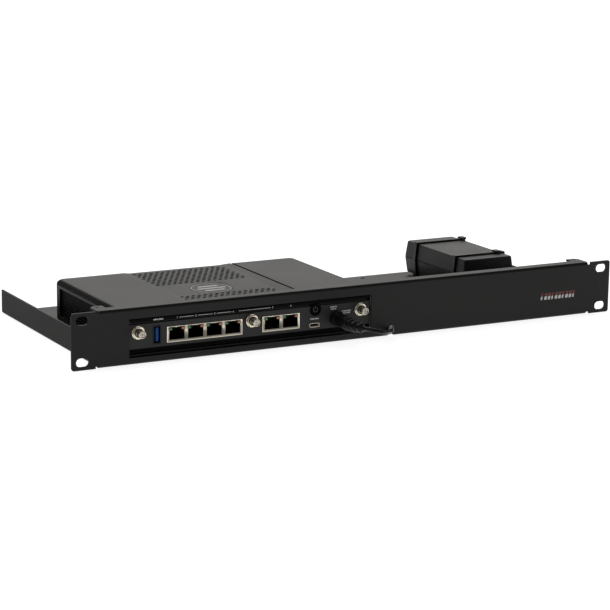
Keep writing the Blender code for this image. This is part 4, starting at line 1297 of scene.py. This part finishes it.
@dataclass(frozen=True)
class Aerial:
    """One threaded aerial connector with its pin, insulator, washer and nut.

    Attributes:
        thread: The tree that winds the thread.
        index: Number of the connector.
        sunk: How far the barrel's core lies inside the CAD barrel, to leave room for the thread.
        bore: Radius and depth of the bore.
        thread_start: Distance from the tip to the thread.
        thread_length: Length of the thread.
        turns: Number of turns.
        ridge: Half the thickness of its ridge.
        pin: Radius and place behind the tip of the corners of the middle pin.
        bead: The same for the insulator round it.
        washer: Outside of the washer beyond the barrel, its thickness and its chamfer.
        sides: Steps round each turned piece.
    """

    thread: Recipe
    index: int
    sunk: float = 0.00022
    bore: Point2 = (0.0022, 0.0060)
    thread_start: float = 0.0008
    thread_length: float = 0.0056
    turns: float = 8.0
    ridge: float = 0.00030
    pin: tuple[Point2, ...] = (
        (0.0, 0.0030), (0.00035, 0.0030), (0.00045, 0.0033), (0.00045, 0.0062), (0.0, 0.0062))
    bead: tuple[Point2, ...] = (
        (0.00055, 0.0005), (0.0018, 0.0005), (0.0021, 0.0008), (0.0021, 0.0058), (0.00055, 0.0058))
    washer: tuple[float, float, float] = (0.0021, 0.0005, 0.0001)
    sides: int = 48

    def build(self) -> None:
        """Build the connector's pieces."""
        low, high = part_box(f"sma_connector_{self.index}")
        middle, radius = middle_of(f"sma_connector_{self.index}"), (high.x - low.x) / 2
        tip = at(middle.x, low.y - FRONT, middle.z)
        self.barrel(tip, radius - self.sunk, high.y - low.y)
        nut = f"sma_nut_{self.index}"
        reach, thick, chamfer = self.washer
        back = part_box(nut)[1].y - tip.y
        inside, outside = radius + 0.0002, radius + reach
        washer = ((inside, back - 0.00002), (outside, back - 0.00002), (outside, back - thick + chamfer),
                  (outside - 2 * chamfer, back - thick), (inside, back - thick))
        for name, finish, slot, profile in (("pin", GOLD, "nickel", self.pin),
                                            ("bead", INSULATOR, "dark_plastic", self.bead),
                                            ("washer", NICKEL, "nickel", washer)):
            ring = turned(f"aerial_{self.index}_{name}", tip, list(profile), self.sides)
            mount(paint(soften(ring, 0.0), finish), slot)
        dress(nut, f"aerial_{self.index}_nut", NICKEL, "nickel", 0.00035, 3)

    def barrel(self, tip: Vector, core: float, length: float) -> None:
        """Turn the barrel and wind its thread.

        Args:
            tip: Middle of the barrel's front end.
            core: Radius under the thread.
            length: Length of the barrel.
        """
        bore, deep = self.bore
        profile = [(bore, deep), (bore, 0.0002), (bore + 0.0002, 0.0), (core - 0.0003, 0.0),
                   (core, 0.0003), (core, length), (0.0, length), (0.0, deep)]
        barrel = turned(f"aerial_{self.index}_barrel", tip, profile, self.sides)
        self.thread.run(
            barrel, NICKEL_PAINTED_DARK, Centre=tip + Vector((0.0, self.thread_start, 0.0)),
            Radius=core - 0.2 * self.ridge, Length=self.thread_length, Turns=self.turns, Ridge=self.ridge)
        # The barrel's side takes the darkened nickel, a painted dark reflection; faces at its front end keep
        # the plain nickel.
        paint(soften(barrel, 0.0), NICKEL_PAINTED_DARK, NICKEL)
        repaint(barrel, lambda face: face.center.y < tip.y + 0.0005)
        mount(barrel, "nickel", f"sma_connector_{self.index}")


@dataclass(frozen=True)
class PortFace:
    """The face with the sockets, their printing, buttons and aerial connectors.

    Attributes:
        face_depth: Depth of the printed face.
        face_marks: Marks on it, as X, Z, width, height and number of bars.
        strip_depth: Depth of the label strip's printed face.
        strip_line: Height of the middle of its marks.
        strip_word: X of the middle of the bars before the first number.
        strip_end: X where the rule before the last two sockets starts.
        jack_rows: Node, X of the first socket's middle, pitch and number of sockets.
        edge: Rounding of the plates' edges.
        symbol_radii: Inside and outside of the open ring on the power button.
        symbol_sweep: Where the ring starts and ends, in degrees.
        symbol_stroke: Height above the middle, width and length of the stroke in the ring's gap.
    """

    recipes: Recipes
    face_depth: float = 0.0020
    face_marks: tuple[tuple[float, float, float, float, int], ...] = (
        (-0.0368, 0.0200, 0.0078, 0.0011, 6), (-0.0200, 0.0280, 0.0062, 0.0010, 5),
        (-0.0200, 0.0263, 0.0050, 0.0010, 4), (-0.0084, 0.0238, 0.0082, 0.0011, 6),
        (-0.0084, 0.0222, 0.0066, 0.0010, 5))
    strip_depth: float = 0.0011
    strip_line: float = 0.0328
    strip_word: float = -0.1705
    strip_end: float = -0.1030
    jack_rows: tuple[tuple[str, float, float, int], ...] = (
        ("lan_jack_block", -0.15490, 0.01570, 4), ("wan_jack_block", -0.07405, 0.01585, 2))
    edge: float = 0.00012
    symbol_radii: Point2 = (0.00165, 0.00205)
    symbol_sweep: Point2 = (125.0, 415.0)
    symbol_stroke: tuple[float, float, float] = (0.00175, 0.00042, 0.0017)

    def build(self) -> None:
        """Build the face's pieces."""
        dress("io_faceplate", "face_plate", FACE_GREY, "face_plastic", self.edge)
        dress("label_strip", "strip_plate", BLACK_AND_SHADE, "face_plastic", self.edge)
        self.face_print()
        self.strip_print()
        for row in self.jack_rows:
            self.jacks(*row)
        self.usb()
        for index in (1, 2, 3):
            Aerial(self.recipes.thread, index).build()
        self.buttons()

    def face_print(self) -> None:
        """Print the small marks beside the single ports."""
        ink = Print(self.face_depth)
        bm = bmesh.new()
        for x, z, width, height, count in self.face_marks:
            ink.bars(bm, (x, z), width, height, count)
        mount(paint(mesh_object("face_print", bm), INK), "face_plastic")

    def strip_print(self) -> None:
        """Print the port numbers and the rules between them on the strip."""
        ink = Print(self.strip_depth)
        bm = bmesh.new()
        ink.bars(bm, (self.strip_word, self.strip_line), 0.0085, 0.0011, 6)
        sockets = []
        for _, first, pitch, count in self.jack_rows:
            sockets += [first + pitch * index for index in range(count)]
        for number, x in enumerate(sockets, 1):
            ink.numeral(bm, str(number), (x, self.strip_line), 0.0016)
        clear, rule = 0.0017, 0.00034
        rules = [(left + clear, right - clear) for left, right in zip(sockets[:3], sockets[1:4])]
        for left, right in [*rules, (self.strip_end, sockets[4] - clear)]:
            ink.mark(bm, oblong(((left + right) / 2, self.strip_line), (right - left, rule)))
        mount(paint(mesh_object("strip_print", bm), INK), "face_plastic")

    def jacks(self, node: str, first: float, pitch: float, count: int) -> None:
        """Build a row of network sockets.

        Args:
            node: The jack block's CAD node.
            first: X of the first socket.
            pitch: Distance between sockets.
            count: Number of sockets.
        """
        family = node.removesuffix("_block")
        shell = soften(merged_copy(node, family + "_shield", whole_faces=False), 0.0)
        mount(paint(shell, SHIELD), "nickel", node)
        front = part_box(node)[0].y - FRONT
        for index in range(count):
            Jack(self.recipes.row, f"{family}_{index + 1}", first + pitch * index, front).build()

    def usb(self) -> None:
        """Build the upright USB-A port and the USB-C port."""
        dress("usb_a_port", "usb_a_shell", DARK_STEEL, "steel", 0.00008)
        dress("usb_a_tongue", "usb_a_blade", USB_BLUE, "usb_blue", 0.00012)
        low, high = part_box("usb_a_tongue")
        start, length, proud, count = 0.0016, 0.0060, 0.00008, 4
        foot, size = 0.0014, (0.00024, 0.0011)
        near = low.y - FRONT + start
        bm = bmesh.new()
        slab(bm, oblong((high.x + proud, low.z + foot), size), near, near + length)
        rail = mesh_object("usb_a_contacts", bm)
        step = (high.z - low.z - 2 * foot) / (count - 1)
        mount(self.recipes.row.run(rail, GOLD, Count=count, Step=(0.0, 0.0, step)), "nickel")
        dress("usb_c_port", "usb_c_shell", SHIELD, "steel", 0.00006)
        dress("usb_c_tongue", "usb_c_blade", BLACK_AND_SHADE, "dark_plastic", 0.00008)

    def buttons(self) -> None:
        """Build the power button with its symbol, its bezel and the reset plunger."""
        dress("power_button", "power_cap", BLACK_AND_SHADE, "dark_plastic", 0.00025, 3, body=Body.POWER)
        dress("power_button_bezel", "power_bezel", BLACK_AND_SHADE, "dark_plastic", 0.00012)
        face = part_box("power_button")[0].y - FRONT
        middle = middle_of("power_button")
        (start, end), (small, large) = self.symbol_sweep, self.symbol_radii
        outer = arc((middle.x, middle.z), large, start, end, 28)
        inner = arc((middle.x, middle.z), small, end, start, 28)
        stroke = oblong((middle.x, middle.z + self.symbol_stroke[0]), self.symbol_stroke[1:])
        bm = bmesh.new()
        for outline in ([*outer, *inner], stroke):
            slab(bm, outline, face - 0.00004, face + 0.00002)
        mount(paint(mesh_object("power_symbol", bm), SYMBOL), "dark_plastic", body=Body.POWER)
        dress("reset_button", "reset_cap", BLACK_AND_SHADE, "dark_plastic", 0.00010, body=Body.RESET)


# --- Adapter -----------------------------------------------------------------------------------------
@dataclass(frozen=True)
class Adapter:
    """The power adapter's two shells and its mains inlet."""

    def build(self) -> None:
        """Build the adapter's pieces."""
        for half, name in (("lower", "adapter_base"), ("upper", "adapter_lid")):
            dress(f"adapter_{half}_shell", name, ADAPTER_BLACK, "case_plastic", 0.0006, 3)
        dress("mains_inlet", "inlet_body", BLACK_AND_SHADE, "dark_plastic", 0.0003)
        for side in ("left", "right"):
            dress(f"inlet_pin_{side}", f"inlet_pin_{side}_plated", NICKEL, "nickel", 0.0002)


# --- Lead --------------------------------------------------------------------------------------------
@dataclass(frozen=True)
class Lead:
    """The adapter's lead: plug, ribbed reliefs, the cable with its coil, and the coil's tie.

    Attributes:
        radius: Half the cable's thickness.
        clearance: How far the cable stays inside the front of the CAD lead.
        spacing: Distance between the points of its curve.
        coil: X and depth of the coil's middle.
        turn_radii: Radius of each turn, from the bottom outside to the top outside.
        coil_z: Height of the lower and the upper layer's centreline.
        front: The way from the plug to the coil, as X, depth and Z.
        rear: The way from the coil to the adapter.
    """

    radius: float = 0.0017
    clearance: float = 0.00002
    spacing: float = 0.0012
    coil: Point2 = (0.0858, 0.0750)
    turn_radii: tuple[float, ...] = (
        0.0259, 0.0223, 0.0187, 0.0151, 0.0151, 0.0187, 0.0223, 0.0259)
    coil_z: Point2 = (0.0036, 0.0071)
    front: tuple[tuple[float, float, float], ...] = (
        (-0.01448, -0.03888, 0.0187), (-0.0133, -0.0424, 0.0187), (-0.0098, -0.0455, 0.0180),
        (-0.0040, -0.0460, 0.0165), (0.0030, -0.0420, 0.0145), (0.0100, -0.0335, 0.0120),
        (0.0170, -0.0225, 0.0092), (0.0245, -0.0110, 0.0064), (0.0320, 0.0010, 0.0045),
        (0.0390, 0.0130, 0.0037), (0.0450, 0.0260, 0.0036), (0.0510, 0.0400, 0.0036),
        (0.0560, 0.0520, 0.0036), (0.0588, 0.0640, 0.0036))
    rear: tuple[tuple[float, float, float], ...] = (
        (0.1128, 0.0640, 0.0069), (0.1155, 0.0545, 0.0062), (0.1220, 0.0448, 0.0048),
        (0.1335, 0.0370, 0.0038), (0.1480, 0.0335, 0.0038), (0.1630, 0.0358, 0.0054),
        (0.1755, 0.0435, 0.0094), (0.1830, 0.0545, 0.0146), (0.1850, 0.0640, 0.0174),
        (0.1850, 0.0720, 0.0178))

    def build(self) -> None:
        plug = dress("dc_plug", "plug_body", CABLE_BLACK, "rubber", 0.0003, 3)
        barrel = dress("dc_plug_barrel", "plug_barrel", NICKEL, "nickel", 0.0001)
        relief = dress("dc_plug_relief", "plug_relief", CABLE_BLACK, "rubber", 0.00025)
        far_relief = dress("adapter_strain_relief", "adapter_relief", CABLE_BLACK, "rubber", 0.00025)
        tie = dress("coil_tie", "coil_binding", NYLON, "nylon", 0.00025)
        route = self.route()
        cable = self.cable(route)

    def route(self) -> list[Vector]:
        """Return the cable's centreline from the plug's relief to the adapter's.

        Returns:
            Closely spaced points.
        """
        points = [at(x, depth, z) for x, depth, z in self.front]
        points += self.turns()
        points += [at(x, depth, z) for x, depth, z in self.rear]
        route = curve_route(points, self.spacing)
        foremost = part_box("dc_lead_front")[0].y + self.radius + self.clearance
        for point in route:
            point.y = max(point.y, foremost)
        return route

    def turns(self) -> list[Vector]:
        """Return the coil's points, outside to inside low down and back out on top.

        Returns:
            Points on the coil.
        """
        points = []
        count = len(self.turn_radii)
        steps = 24
        for step in range(count * steps - steps // 2 + 1):
            place = step / steps - 0.5
            here = min(max(place, 0.0), count - 1.0)
            index = min(int(here), count - 2)
            share = ease(here - index)
            radius = self.turn_radii[index] * (1.0 - share) + self.turn_radii[index + 1] * share
            layer = ease(min(max(place - (count / 2 - 1.0), 0.0), 1.0))
            z = self.coil_z[0] * (1.0 - layer) + self.coil_z[1] * layer
            angle = math.pi - math.tau * step / steps
            across, back = radius * math.cos(angle), radius * math.sin(angle)
            points.append(at(self.coil[0] + across, self.coil[1] + back, z))
        return points

    def cable(self, route: list[Vector]) -> Thing:
        """Sweep the jacket along the route.

        Args:
            route: The centreline.

        Returns:
            The cable as a curve with a round section.
        """
        curve = bpy.data.curves.new("dc_cable", "CURVE")
        curve.dimensions = "3D"
        curve.bevel_depth = self.radius
        curve.bevel_resolution = 4
        curve.use_fill_caps = True
        spline = curve.splines.new("POLY")
        spline.points.add(len(route) - 1)
        for point, place in zip(spline.points, route):
            point.co = (*place, 1.0)
        cable = make_object("dc_cable", curve)
        paint(cable, CABLE_BLACK)
        return mount(cable, "rubber", "dc_lead_front", "dc_lead_coil", "dc_lead_rear")


# --- Inner parts -------------------------------------------------------------------------------------
@dataclass(frozen=True)
class Internals:
    """The parts inside the case and the adapter, which keep their CAD meshes."""

    finishes: tuple[tuple[str, Finish], ...] = (
        ("power_switch", CHIP), ("reset_switch", CHIP), ("main_board", BOARD), ("processor", CHIP),
        ("heat_sink", ALUMINIUM), ("wifi_module", STEEL), ("dc_jack", BLACK_AND_SHADE), ("adapter_board", BOARD),
        ("adapter_transformer", CHIP))

    def build(self) -> None:
        """Give each inner part its finish."""
        for node, finish in self.finishes:
            paint(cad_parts[node], finish)
            LOG.info("%s keeps its CAD mesh in %s", node, finish.name)


def main() -> None:
    """Build the studio and the sub-assemblies."""
    logging.basicConfig(level=logging.INFO, format="%(name)s: %(message)s")
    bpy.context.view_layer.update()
    recipes = Recipes(perforation_recipe(), row_recipe(), thread_recipe())
    parts = (Studio(), Lead(), RackTray(recipes), Case(recipes), PortFace(recipes), Adapter(), Internals())
    for part in parts:
        LOG.info("building %s", type(part).__name__)
        part.build()


if __name__ == "__main__":
    main()
